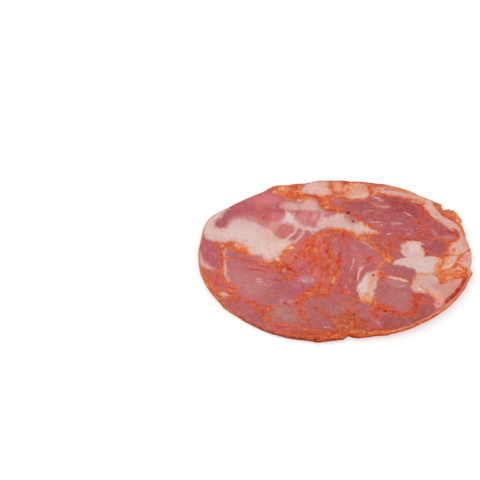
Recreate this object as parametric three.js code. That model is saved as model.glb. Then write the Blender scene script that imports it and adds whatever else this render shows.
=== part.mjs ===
// One slice of cooked, spiced coppa, lying flat: pork neck muscles and fat, bound by seams of
// chilli and paprika paste inside a thin spiced rind. Millimetres, +Z up. X runs along the
// oval's long way and Y along its short way; the origin is under its middle, where it rests.

import * as THREE from "three";

// Driving dimensions of the cut.
const WIDTH = 113.6; // long way across the oval, before its lobes
const DEPTH = 93.2; // short way across the oval
const THICKNESS = 1.7; // as the slicer was set
const WEDGE = { gain: 0.45, at: -35, spread: 45 }; // the blade ran out thicker at this side
const TAPER = { gain: -0.5, at: -125, spread: 35 }; // and thinner at this one

// Where the rim stands out from the oval or falls short of it, going round from +X in degrees.
const LOBES = [
  { at: 52, out: 2.2, spread: 13 }, // shoulder of the large muscle
  { at: 25, out: 4.2, spread: 7 }, // paste that bulged and tore
  { at: 17.5, out: -0.7, spread: 3 },
  { at: -9, out: 0.55, spread: 4 },
  { at: -44, out: -0.3, spread: 16 },
  { at: -82, out: -1.8, spread: 11.5 }, // dent in the front edge
  { at: -99, out: 0.7, spread: 3.4 },
  { at: -121, out: 0.8, spread: 11.5 },
  { at: -147, out: 0.4, spread: 3 },
  { at: 158, out: 2.4, spread: 6.2 }, // end of the fat cap
  { at: 121, out: -0.8, spread: 13.5 },
  { at: 120, out: 1.5, spread: 3.9 },
  { at: 104, out: -0.8, spread: 3.8 },
];

// V-shaped nicks torn into the rim: depth in mm, half-width in degrees.
const NICKS = [
  { at: -85.7, deep: 1.9, half: 2.6 },
  { at: 30, deep: 2.6, half: 3 },
  { at: -6.6, deep: 1, half: 2.4 },
];

// Crumbly stretches of rim, where paste came away: depth in mm and spread in degrees.
const RAGGED = [
  { at: 25, rough: 0.22, spread: 11 },
  { at: -84, rough: 0.16, spread: 13 },
  { at: -2, rough: 0.15, spread: 12 },
  { at: 92, rough: 0.1, spread: 24 },
];
const RAGGED_WAVES = [31, 53, 83]; // crumbs per turn
const EVEN_ROUGH = 0.05; // what the rest of the rim has

// Stretches of the rim that curl up off the surface.
const CURLS = [
  { at: -38, lift: 1.1, spread: 30 },
  { at: 26, lift: 0.9, spread: 16 },
  { at: 178, lift: 0.6, spread: 26 },
  { at: 104, lift: 0.4, spread: 18 },
];
const CURL_START = 0.72; // share of the way out at which the underside leaves the surface

// Muscles and fat that stand a little proud of the seams between them:
// middle, half-length, half-width and height in mm, and turn in degrees.
const SWELLS = [
  { name: "loin", x: -32, y: 28, long: 17, wide: 8, turn: 24, high: 0.28 },
  { name: "fat_cap", x: -37, y: 11, long: 18, wide: 7.5, turn: -16, high: 0.22 },
  { name: "fat_tongue", x: -26, y: 2, long: 7, wide: 5, turn: -60, high: 0.2 },
  { name: "round_muscle", x: -20, y: 15, long: 4.6, wide: 3.8, turn: -30, high: 0.2 },
  { name: "fat_saddle", x: 2, y: 19.5, long: 15, wide: 3.6, turn: -10, high: 0.16 },
  { name: "fat_top", x: -6, y: 40.5, long: 7, wide: 4, turn: 8, high: 0.22 },
  { name: "large_muscle", x: 22, y: 25, long: 18, wide: 10, turn: -12, high: 0.34 },
  { name: "outer_muscle", x: 43.5, y: 17, long: 9, wide: 5, turn: -52, high: 0.24 },
  { name: "blunt_muscle", x: 43, y: 5, long: 5, wide: 4.4, turn: 0, high: 0.22 },
  { name: "inner_muscle", x: 23, y: 5, long: 8, wide: 4.6, turn: -60, high: 0.2 },
  { name: "fan_muscle", x: 8, y: -3, long: 17, wide: 8.5, turn: -72, high: 0.26 },
  { name: "wedge_muscle", x: 26.5, y: -9, long: 6.6, wide: 3.4, turn: -18, high: 0.24 },
  { name: "fat_wedge", x: 36, y: -4, long: 8, wide: 3.6, turn: -10, high: 0.14 },
  { name: "fat_column", x: 11.5, y: -18, long: 8.5, wide: 2.8, turn: 84, high: 0.18 },
  { name: "barrel_muscle", x: 22.5, y: -22.5, long: 10, wide: 8, turn: -34, high: 0.32 },
  { name: "end_muscle", x: 35.5, y: -28, long: 8, wide: 4, turn: 72, high: 0.24 },
  { name: "front_muscle", x: 22, y: -37.5, long: 12, wide: 3, turn: 9, high: 0.18 },
  { name: "broad_muscle", x: -30, y: -15, long: 17, wide: 10.5, turn: -27, high: 0.36 },
  { name: "lens_muscle", x: -52, y: -1, long: 7, wide: 3.6, turn: 84, high: 0.22 },
  { name: "lower_muscle", x: -37, y: -31, long: 9, wide: 4, turn: -42, high: 0.2 },
  { name: "pale_muscle", x: -21, y: -32.5, long: 5.4, wide: 3.6, turn: -20, high: 0.18 },
  { name: "oval_muscle", x: -7.5, y: -35, long: 7, wide: 3.8, turn: -48, high: 0.26 },
];
const SWELL_FOOT = 1.12; // a swell fades out this far past its half-length

// The cut face waves a little, as soft meat does under the blade: mm high, mm from crest to crest.
const WAVES = [
  { high: 0.09, length: 41, turn: 35 },
  { high: 0.06, length: 27, turn: 118 },
];

// The mesh: rings of points from the middle out, then round the rim and back underneath.
const RINGS = 30; // on the cut face
const POINTS_PER_RING = 6; // that each ring gains over the one inside it
const RIM_POINTS = 360;
const RIM_BULGE = 0.22; // mm that the rind stands out halfway down
const RIM_ROUND = 0.28; // mm that the rind's corners are drawn in
const RIM_LEVELS = 3; // points down the rind, corners left out
const UNDERSIDE = [
  { share: 0.93, count: 180 },
  { share: 0.84, count: 120 },
  { share: CURL_START, count: 60 },
];

const RADIAN = THREE.MathUtils.DEG2RAD;

// Degrees from one bearing to another, the short way round.
function degreesBetween(a, b) {
  return THREE.MathUtils.euclideanModulo(a - b + 180, 360) - 180;
}

// A bell curve round the rim, 1 at its own bearing.
function bell(bearing, { at, spread }) {
  return Math.exp(-((degreesBetween(bearing, at) / spread) ** 2) / 2);
}

// How far out the rim is at a bearing.
function rimRadius(bearing) {
  const a = bearing * RADIAN;
  let radius = 1 / Math.hypot(Math.cos(a) / (WIDTH / 2), Math.sin(a) / (DEPTH / 2));
  for (const lobe of LOBES) radius += lobe.out * bell(bearing, lobe);
  for (const nick of NICKS) {
    const off = Math.abs(degreesBetween(bearing, nick.at)) / nick.half;
    radius -= nick.deep * Math.max(0, 1 - off);
  }
  const rough = RAGGED.reduce((sum, r) => sum + r.rough * bell(bearing, r), EVEN_ROUGH);
  RAGGED_WAVES.forEach((count, i) => {
    radius += (rough * Math.sin(count * a + i * i)) / (i + 1);
  });
  return radius;
}

function thicknessAt(bearing, share) {
  const reach = share * share;
  const uneven = WEDGE.gain * bell(bearing, WEDGE) + TAPER.gain * bell(bearing, TAPER);
  return THICKNESS + uneven * reach;
}

// Height of the underside over the surface that the slice lies on.
function underside(bearing, share) {
  if (share <= CURL_START) return 0;
  const out = (share - CURL_START) / (1 - CURL_START);
  return CURLS.reduce((sum, curl) => sum + curl.lift * bell(bearing, curl), 0) * out * out;
}

// Height of the relief of one muscle or patch of fat at a point.
function swellAt(x, y, swell) {
  const a = swell.turn * RADIAN;
  const dx = x - swell.x;
  const dy = y - swell.y;
  const along = (dx * Math.cos(a) + dy * Math.sin(a)) / swell.long;
  const across = (dy * Math.cos(a) - dx * Math.sin(a)) / swell.wide;
  const out = Math.hypot(along, across);
  return swell.high * (1 - THREE.MathUtils.smoothstep(out, 0.35, SWELL_FOOT));
}

function relief(x, y) {
  let height = Math.max(...SWELLS.map((swell) => swellAt(x, y, swell)));
  for (const wave of WAVES) {
    const a = wave.turn * RADIAN;
    const along = x * Math.cos(a) + y * Math.sin(a);
    height += wave.high * Math.sin((2 * Math.PI * along) / wave.length);
  }
  return height;
}

function cutFace(x, y, bearing, share) {
  return underside(bearing, share) + thicknessAt(bearing, share) + relief(x, y);
}

// A closed ring of points: `count` of them, `share` of the way out, at the height that `face` gives.
function ring(count, share, face, outward = 0) {
  return Array.from({ length: count }, (_, i) => {
    const bearing = (360 * i) / count;
    const radius = rimRadius(bearing) * share + outward;
    const x = radius * Math.cos(bearing * RADIAN);
    const y = radius * Math.sin(bearing * RADIAN);
    return new THREE.Vector3(x, y, face(x, y, bearing, share));
  });
}

// The rings down the rind, from just under the cut face to just over the underside.
function rindRings() {
  return Array.from({ length: RIM_LEVELS }, (_, i) => {
    const down = (i + 1) / (RIM_LEVELS + 1);
    const bulge = RIM_BULGE * Math.sin(Math.PI * down);
    const between = (x, y, bearing) =>
      THREE.MathUtils.lerp(cutFace(x, y, bearing, 1), underside(bearing, 1), down);
    return ring(RIM_POINTS, 1, between, bulge);
  });
}

// Triangles between two rings that may differ in count, the first of which lies inside or above.
function zip(inner, outer, faces) {
  let i = 0;
  let j = 0;
  while (i < inner.count || j < outer.count) {
    const a = inner.first + (i % inner.count);
    const b = outer.first + (j % outer.count);
    const innerNext = (i + 1) / inner.count;
    const outerNext = (j + 1) / outer.count;
    if (j < outer.count && outerNext <= innerNext + 1e-9) {
      faces.push(a, b, outer.first + ((j + 1) % outer.count));
      j += 1;
    } else {
      faces.push(a, b, inner.first + ((i + 1) % inner.count));
      i += 1;
    }
  }
}

function sliceGeometry() {
  const rings = [[new THREE.Vector3(0, 0, cutFace(0, 0, 0, 0))]];
  for (let k = 1; k < RINGS; k += 1) {
    rings.push(ring(k * POINTS_PER_RING, k / RINGS, cutFace));
  }
  rings.push(ring(RIM_POINTS, 1, cutFace, -RIM_ROUND));
  rings.push(...rindRings());
  const under = (x, y, bearing, share) => underside(bearing, share);
  rings.push(ring(RIM_POINTS, 1, under, -RIM_ROUND));
  for (const { share, count } of UNDERSIDE) rings.push(ring(count, share, under));
  rings.push([new THREE.Vector3(0, 0, 0)]);

  const spans = [];
  let first = 0;
  for (const points of rings) {
    spans.push({ first, count: points.length });
    first += points.length;
  }
  const faces = [];
  for (let k = 1; k < spans.length; k += 1) {
    if (spans[k - 1].count === 1) fan(spans[k - 1].first, spans[k], faces, false);
    else if (spans[k].count === 1) fan(spans[k].first, spans[k - 1], faces, true);
    else zip(spans[k - 1], spans[k], faces);
  }
  const geometry = new THREE.BufferGeometry().setFromPoints(rings.flat());
  geometry.setIndex(faces);
  geometry.computeBoundingBox();
  const middle = geometry.boundingBox.getCenter(new THREE.Vector3());
  geometry.translate(-middle.x, -middle.y, 0);
  geometry.computeVertexNormals();
  return geometry;
}

// Triangles from a middle point to the ring round it.
function fan(middle, { first, count }, faces, below) {
  for (let i = 0; i < count; i += 1) {
    const a = first + i;
    const b = first + ((i + 1) % count);
    faces.push(middle, ...(below ? [b, a] : [a, b]));
  }
}

const meat = new THREE.MeshStandardMaterial({ color: 0xc0686a, roughness: 0.45, metalness: 0 });

const slice = new THREE.Mesh(sliceGeometry(), meat);
slice.name = "coppa_slice";

const coppa = new THREE.Group();
coppa.add(slice);

export default coppa;
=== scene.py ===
import math

import bmesh
import bpy
import numpy as np
from mathutils import Matrix, Vector, noise
from mathutils.bvhtree import BVHTree


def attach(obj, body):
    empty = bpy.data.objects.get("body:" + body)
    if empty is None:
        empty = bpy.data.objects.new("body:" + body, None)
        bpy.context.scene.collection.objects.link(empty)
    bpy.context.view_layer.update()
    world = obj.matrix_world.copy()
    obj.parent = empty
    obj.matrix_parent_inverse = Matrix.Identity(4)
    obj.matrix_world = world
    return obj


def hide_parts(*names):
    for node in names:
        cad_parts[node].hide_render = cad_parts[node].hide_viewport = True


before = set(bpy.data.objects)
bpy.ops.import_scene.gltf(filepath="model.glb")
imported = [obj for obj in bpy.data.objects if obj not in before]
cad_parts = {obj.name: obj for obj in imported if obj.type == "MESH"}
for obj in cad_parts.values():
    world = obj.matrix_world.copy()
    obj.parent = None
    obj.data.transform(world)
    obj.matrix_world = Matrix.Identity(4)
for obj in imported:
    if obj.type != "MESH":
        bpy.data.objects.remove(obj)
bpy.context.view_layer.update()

# The slice as it came off the slicer
# One cut through a pressed, cooked pork neck, 114 mm long and about 2 mm thick. Its outline, its curled rim
# and its swells are read off the solid, and the sheet of small squares over them takes the finer surface.

MM = 0.001
FACE_SQUARES = 279  # across the cut face, about 0.4 mm each
BACK_SQUARES = 93  # across the underside, a third as many
MANY_POINTS = 1e6  # more than the sheets have
BACK_INSET = 0.985  # share of the way out at which the underside's squares begin
RIND_LEVELS = 5  # rings of points down the rind, the last at its lower corner
CORNER = 0.5  # mm that the corners of the cut lie inside the rind's bulge
BULGE_POWER = 0.6  # how full the bulge is between the corners: 1 is a sine, less is fuller
FAR = 0.1  # m, well outside the slice
RAY_LENGTH = 0.06  # m, from there to past the rim but not to its other side
RIND_HEIGHTS = np.arange(0.2, 3.4, 0.2)  # mm over the floor, where rays look for the rind
BEARING_STEP = 0.5  # degrees
SWELL_POWER = 8  # how closely a swell of the rim keeps to the rim
RIM_SWELL = [  # bearing in degrees, mm further out: by the nick, on the right edge and at the torn end
    (-88.0, 0.0), (-86.4, 0.5), (-85.2, 0.5), (-83.0, 0.0),
    (-12.0, 0.0), (-10.4, 0.2), (-9.4, -0.4), (-8.4, -0.9), (-7.0, -0.6), (-5.0, -0.2), (-3.0, 0.0),
    (15.5, 0.0), (17.2, 0.4), (19.0, 0.3), (20.6, 0.7), (22.4, 0.2), (24.4, -0.2), (26.4, 0.0), (27.0, -0.1),
    (27.5, -1.6), (27.9, -1.6), (28.2, 0.4), (28.5, 0.2), (28.8, -2.0), (29.2, -1.4), (29.5, -0.6),
    (29.8, 0.4), (30.4, 0.5), (31.0, 0.3), (31.5, 0.5), (32.0, 0.8), (32.6, 0.4), (33.2, 0.1), (34.0, 0.0)]


def round_sheet(bm, squares, size, level):
    """A disc of even squares. Until the points are placed, z holds the level that they are on."""
    made = bmesh.ops.create_grid(bm, x_segments=squares, y_segments=squares, size=1)["verts"]
    for vert in made:
        u, v, _ = vert.co
        x, y = u * math.sqrt(1 - v * v / 2), v * math.sqrt(1 - u * u / 2)
        vert.co = (x * size, y * size, level)
    return set(made)


def open_edges(bm, within=None):
    """The border edges of the whole shape, or of the sheet with the given points."""
    return [e for e in bm.edges if e.is_boundary and (within is None or e.verts[0] in within)]


def by_newest_points(face):
    """A number that is higher the later the newest two points of a face were made."""
    second, newest = sorted(vert.index for vert in face.verts)[-2:]
    return newest * MANY_POINTS + second


bm = bmesh.new()
round_sheet(bm, FACE_SQUARES, 1, 0)
edge = open_edges(bm)
for down in range(1, RIND_LEVELS + 1):
    made = bmesh.ops.extrude_edge_only(bm, edges=edge)["geom"]
    for part in made:
        if isinstance(part, bmesh.types.BMVert):
            part.co.z = down
    edge = [part for part in made if isinstance(part, bmesh.types.BMEdge) and part.is_boundary]
bm.verts.index_update()
bm.faces.sort(key=by_newest_points)  # extruding leaves its faces in another order on each run
bm.faces.index_update()
back = round_sheet(bm, BACK_SQUARES, BACK_INSET, RIND_LEVELS + 1)
bmesh.ops.bridge_loops(bm, edges=edge + open_edges(bm, back))

solid_copy = bmesh.new()
solid_copy.from_mesh(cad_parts["coppa_slice"].data)
solid = BVHTree.FromBMesh(solid_copy)
solid_copy.free()


def reach_at(bearing):
    """How far out the rind's bulge is at a bearing: the furthest hit of rays fired in at every height."""
    out = Vector((math.cos(bearing), math.sin(bearing), 0))
    hits = [solid.ray_cast(out * FAR + Vector((0, 0, z * MM)), -out, RAY_LENGTH)[0] for z in RIND_HEIGHTS]
    return max(hit.xy.length for hit in hits if hit is not None)


def height_at(x, y, from_above):
    """Height of the cut face, or of the underside, at a point of the plan."""
    side = 1 if from_above else -1
    return solid.ray_cast(Vector((x, y, FAR * side)), Vector((0, 0, -side)))[0].z


start = np.array([vert.co[:] for vert in bm.verts])
share = np.hypot(start[:, 0], start[:, 1])
bearing = np.arctan2(start[:, 1], start[:, 0])
level = np.rint(start[:, 2]).astype(int)
turn = np.radians(np.arange(-180, 180 + BEARING_STEP, BEARING_STEP))
rim_out = [reach_at(b) for b in turn]
reach = np.interp(bearing, turn, rim_out)

down_rind = np.clip(level / RIND_LEVELS, 0, 1)
bulge = np.where(level <= RIND_LEVELS, np.sin(np.pi * down_rind).clip(0) ** BULGE_POWER, 0)
radius = share * (reach - CORNER * MM)
flat_x, flat_y = radius * np.cos(bearing), radius * np.sin(bearing)
face_z = np.array([height_at(x, y, True) if on <= RIND_LEVELS else 0
                   for x, y, on in zip(flat_x, flat_y, level)])
back_z = np.array([height_at(x, y, False) if on > 0 else 0
                   for x, y, on in zip(flat_x, flat_y, level)])
rim_swell = share ** SWELL_POWER * np.interp(np.degrees(bearing), *zip(*RIM_SWELL))
outward = (CORNER * bulge + rim_swell) * MM
place = np.stack([
    flat_x + outward * np.cos(bearing),
    flat_y + outward * np.sin(bearing),
    np.where(level > RIND_LEVELS, back_z, face_z + (back_z - face_z) * down_rind),
], axis=1)
plan = place[:, :2] / MM
count = len(plan)

# The pattern of the cut, in mm on the plan

NOISE_SEED = 4  # where noise_vector starts from, which would else follow the clock
CURVE_STEPS = 5  # straight steps from one point of a line to the next
MARGIN = 6.0  # mm up to which the distance to a line is worked out

noise.seed_set(NOISE_SEED)


def wobble(points, period, amount, seed=0):
    """Moves points of the plan about by smooth noise, so that no edge on the cut runs too evenly."""
    shift = [noise.noise_vector(Vector((x / period, y / period, seed)))[:2] for x, y in points]
    return points + np.array(shift) * amount


def unevenness(points, period, seed):
    """Smooth noise over the plan, about -1 to 1."""
    return np.array([noise.noise(Vector((x / period, y / period, seed))) for x, y in points])


def smooth_line(points, closed):
    """A curve through points, worked out in short straight steps."""
    knots = np.array(points, float)
    spans = len(knots)
    if closed:
        knots = np.concatenate([knots[-1:], knots, knots[:2]])
    else:
        knots = np.concatenate([2 * knots[:1] - knots[1:2], knots, 2 * knots[-1:] - knots[-2:-1]])
        spans -= 1
    t = np.arange(CURVE_STEPS)[:, None] / CURVE_STEPS
    line = []
    for a, b, c, d in (knots[i:i + 4] for i in range(spans)):
        line.append(0.5 * (2 * b + (c - a) * t + (2 * a - 5 * b + 4 * c - d) * t ** 2
                           + (3 * b - a - 3 * c + d) * t ** 3))
    line.append(knots[-2][None])
    return np.concatenate(line)


def distance_to(line, points):
    """Millimetres from points of the plan to a line, up to the margin."""
    near = np.flatnonzero(((points > line.min(0) - MARGIN) & (points < line.max(0) + MARGIN)).all(1))
    close = points[near]
    least = np.full(len(near), MARGIN)
    for a, b in zip(line[:-1], line[1:]):
        step = b - a
        along = np.clip(((close - a) @ step) / max(step @ step, 1e-9), 0, 1)
        least = np.minimum(least, np.hypot(*(close - a - along[:, None] * step).T))
    result = np.full(len(points), MARGIN)
    result[near] = least
    return result


def depth_in(outline, points):
    """Millimetres that points of the plan lie inside an outline, below 0 where they are outside it."""
    line = smooth_line(outline, True)
    inside = np.zeros(len(points), bool)
    x, y = points.T
    for (ax, ay), (bx, by) in zip(line[:-1], line[1:]):
        if ay != by:
            inside ^= ((y < ay) != (y < by)) & (x < ax + (y - ay) * (bx - ax) / (by - ay))
    return np.where(inside, 1, -1) * distance_to(line, points)


def smoothstep(low, high, value):
    t = np.clip((value - low) / (high - low), 0, 1)
    return t * t * (3 - 2 * t)


def seen_as(red, green, blue):
    """A colour as it shows in daylight, 0 to 255, made linear."""
    return np.array([((c / 255 + 0.055) / 1.055) ** 2.4 for c in (red, green, blue)])


# Muscles: colour, run of the strands in degrees or the point where they run together, how much the strands
# show, how soft the edge is in mm, and the outline. Later ones lie over earlier ones.
MUSCLES = {
    "loin": ((186, 90, 99), 98, 0.5, 0.8, [
        (-51, 18.5), (-49.5, 23), (-45, 29), (-38, 34), (-30, 38), (-24, 39), (-21, 36), (-20, 31),
        (-19.5, 27), (-22, 24), (-25, 21.5), (-29, 21), (-34, 21.5), (-40, 23), (-44, 21.5), (-47, 18)]),
    "loin, pale": ((210, 119, 117), 98, 0.1, 3.5, [(-36, 34), (-29, 38), (-24, 36), (-24, 31), (-29, 30)]),
    "loin, deep": ((194, 85, 92), 98, 0.5, 3, [(-34, 25), (-28, 27.5), (-23, 26), (-25, 22.5), (-31, 22)]),
    "loin, end": ((178, 88, 94), 98, 0.5, 1.5, [(-51, 19), (-48, 24), (-44, 28), (-43, 24), (-47, 18)]),
    "round": ((204, 114, 115), 60, 0.2, 1.8, [
        (-23.6, 15), (-22.6, 17.8), (-20, 18.8), (-17.8, 17.8), (-17.0, 15.4), (-17.8, 13), (-19.8, 11.2),
        (-22.2, 12.2)]),
    "beside the stem": ((198, 108, 114), 60, 0.2, 0.6, [
        (-14.8, 16.6), (-13, 16), (-13.6, 13), (-14.6, 9.6), (-16.6, 8.4), (-16.2, 11.6), (-15.4, 14)]),
    "under the arm": ((190, 102, 110), 60, 0.2, 0.6, [
        (-12, 14.8), (-9.8, 14.4), (-9.4, 11.6), (-11.4, 10.4), (-12.8, 12)]),
    "right of the arm": ((196, 106, 112), 60, 0.2, 0.6, [(-8.2, 14.8), (-5, 15), (-4.6, 13.4), (-8, 12.8)]),
    "under the saddle": ((204, 124, 127), 78, 0.6, 1.5, [
        (-16.5, 20), (-15.4, 25), (-11, 26.6), (-6, 26.6), (-1, 26.8), (-2.4, 23), (-6, 20.4), (-9, 18.6),
        (-13, 19)]),
    "large": ((178, 86, 90), -4, 0.8, 0.7, [
        (4, 31), (6, 33.4), (10, 34), (16, 34.6), (18, 37), (24, 37.6), (32, 35), (37.6, 31), (38.5, 26),
        (38, 22), (35.6, 20), (37.6, 16), (36.4, 12), (37, 10), (33, 9.8), (27, 11.5), (20, 14.6), (16, 18),
        (12, 22), (8.4, 25.6), (5, 28)]),
    "large, wine": ((164, 58, 62), -4, 0.35, 4, [
        (24, 35), (31, 34), (37, 29), (36.6, 24), (31, 26), (26, 29)]),
    "large, rose": ((186, 92, 98), -4, 0.8, 4, [
        (16, 21), (24, 19), (33, 17), (34, 12), (24, 14), (17, 17.4)]),
    "large, left": ((172, 78, 82), -4, 0.4, 3, [(6, 32), (13, 33), (15, 30), (10, 28), (6, 28.6)]),
    "outer": ((180, 84, 86), -52, 0.6, 0.8, [
        (39, 26), (42, 25), (45, 20.6), (48, 16.4), (50, 13), (49.6, 9.6), (45, 9), (40, 9.4), (37.4, 12),
        (37.4, 15), (38.4, 19)]),
    "blunt": ((176, 84, 84), 60, 0.6, 0.7, [
        (38.5, 8.4), (43, 9.4), (47, 8), (47.6, 4), (46.2, 1), (43, 0), (39.6, 1), (38.6, 4)]),
    "inner": ((187, 92, 86), 92, 0.8, 0.8, [
        (11, 12), (16, 13.2), (22, 12.5), (28, 10.2), (28, 6), (27, 2), (24, -1), (21.5, -1), (18.5, 4),
        (15, 8.2)]),
    "inner, deep": ((168, 66, 52), 92, 0.6, 1.2, [(16.4, 7.4), (18, 7.2), (20.4, 3.8), (19, 3), (17, 5)]),
    "middle": ((208, 106, 98), (-3, 26), 0.7, 2, [
        (-24, -4), (-19, 1), (-15, 7), (-12, 12), (-6, 14), (0, 15), (3, 8), (3, -2), (1, -12), (-2, -20),
        (-9, -18), (-11, -10), (-18, -13), (-24, -11)]),
    "fan": ((188, 100, 101), (3, 17), 0.85, 1, [
        (-3, 12), (0, 14.6), (5, 14.6), (8, 12.4), (12, 8.6), (16.4, 4.4), (20.6, -1), (19.4, -5),
        (17.6, -8.6), (11, -10), (8.5, -14), (8.2, -22), (3, -23), (-3, -23), (-1.2, -15), (0.6, -8),
        (1.4, 0), (-2, 8)]),
    "fan, head": ((192, 84, 78), (3, 17), 0.6, 3, [(-2, 12), (2, 14.6), (7, 13), (8, 9), (4, 7), (0, 8)]),
    "fan, lilac": ((190, 108, 118), (3, 17), 0.7, 1.6, [(-1, 9), (2, 10), (2.6, 3), (1.6, -1), (-0.6, 2)]),
    "fan, right": ((190, 106, 108), (3, 17), 0.5, 2.5, [(6, 6), (12, 7), (18, 1), (18, -5), (9, -4)]),
    "fan, foot": ((184, 92, 90), (3, 17), 0.6, 2.5, [(0, -11), (8, -11), (8, -22), (-2, -22)]),
    "wedge": ((178, 98, 103), -20, 0.3, 0.5, [
        (20.4, -3.6), (23, -4.2), (28.6, -7), (32.6, -8.4), (32, -12), (30.4, -14.6), (28, -13), (25, -12),
        (20.5, -11.8), (18.8, -9), (19, -6)]),
    "barrel": ((181, 106, 104), -35, 0.5, 0.8, [
        (18, -13), (22, -13.6), (27, -14.4), (29.6, -16), (30.4, -20), (30.6, -25), (30, -29), (27.8, -32.8),
        (25, -33), (22.4, -31), (20.4, -28), (17, -27), (14.8, -25.4), (14.2, -22), (15.2, -17.4)]),
    "end": ((174, 88, 86), 72, 0.6, 0.8, [
        (31.4, -21.8), (34.5, -21.5), (37.5, -23), (38.8, -26), (38.8, -30.6), (35.6, -35), (31, -36),
        (30.5, -31), (31, -26)]),
    "front": ((166, 79, 78), 10, 0.6, 0.8, [
        (10, -36), (15, -35), (21, -32.4), (26, -34.5), (31, -34.5), (37, -33.5), (33, -38), (25, -41),
        (16, -42), (11, -40.6)]),
    "front, rose": ((184, 90, 88), 10, 0.3, 1, [
        (10.4, -37), (13.6, -36.4), (15, -39), (13.6, -41), (10.6, -40.4)]),
    "broad": ((189, 106, 108), -12, 0.3, 1.2, [
        (-45.8, 4), (-42, 5), (-38, 2), (-34, -1), (-30, -4), (-26, -6), (-18, -8), (-12, -12), (-9, -16),
        (-13, -20.4), (-18, -26), (-24, -28), (-30, -27), (-36, -24.5), (-41, -22), (-44, -16), (-45.6, -8),
        (-46, -1)]),
    "broad, pale": ((198, 123, 122), -12, 0.3, 4, [
        (-43, -10), (-36, -12), (-30, -18), (-34, -22), (-41, -17)]),
    "broad, deep": ((180, 92, 98), -25, 0.3, 4, [
        (-25, -14), (-18, -13), (-12, -17), (-17, -23), (-24, -21)]),
    "lens": ((186, 94, 101), 84, 0.6, 0.8, [
        (-57, 4.6), (-54, 8.2), (-51, 7.6), (-48.8, 5.4), (-48, 2), (-48, -4), (-48.8, -7.6), (-51, -7.6),
        (-54, -4), (-56.6, 0)]),
    "strip": ((194, 103, 100), -70, 0.4, 0.8, [
        (-56.5, -5), (-51, -9), (-48, -9), (-47, -14), (-45, -19), (-46, -22), (-50, -20), (-54, -12)]),
    "lower": ((181, 94, 96), -40, 0.3, 0.8, [
        (-46, -24), (-41, -25), (-36, -26.5), (-33, -29), (-31, -33), (-30, -38), (-34, -36.5), (-40, -32),
        (-45, -27)]),
    "foot": ((181, 82, 46), 90, 0.5, 1.4, [
        (-2, -34), (2, -31.6), (7, -32), (9, -35), (13.4, -34.6), (11, -37), (10.6, -41), (2, -42),
        (-2, -40.4)]),
    "front rim": ((190, 84, 46), 10, 0.4, 1.2, [
        (-20, -42), (-12, -41), (-6, -41.4), (2, -41.8), (12, -41.6), (22, -41.8), (24, -43.6), (8, -47),
        (-8, -48.6), (-20, -46)]),
    "pale": ((178, 110, 102), -35, 0.4, 1.2, [
        (-28, -31), (-25, -28.6), (-20, -28), (-16.5, -30), (-16, -34), (-18, -37), (-22, -37.5),
        (-26, -35)]),
    "oval": ((174, 98, 100), -50, 0.25, 0.5, [
        (-11.8, -28.6), (-9, -29), (-5, -33), (-2.3, -37), (-2.6, -39.6), (-6, -41), (-10, -40),
        (-12.4, -34)]),
    "mauve": ((180, 104, 100), -15, 0.25, 0.7, [
        (-13, -24), (-8, -23), (0, -23), (6, -22.5), (8.5, -25), (12, -27), (10, -30), (7, -31.6),
        (2, -31.5), (-2, -33.5), (-5, -32), (-9, -28), (-12, -28)]),
    "patch": ((178, 106, 108), 20, 0.25, 0.6, [
        (8.6, -26.6), (12, -25.8), (13.2, -28), (12, -30.4), (13, -33), (11, -34.4), (7.6, -34), (7.6, -31),
        (9, -29.6)]),
}

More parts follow.
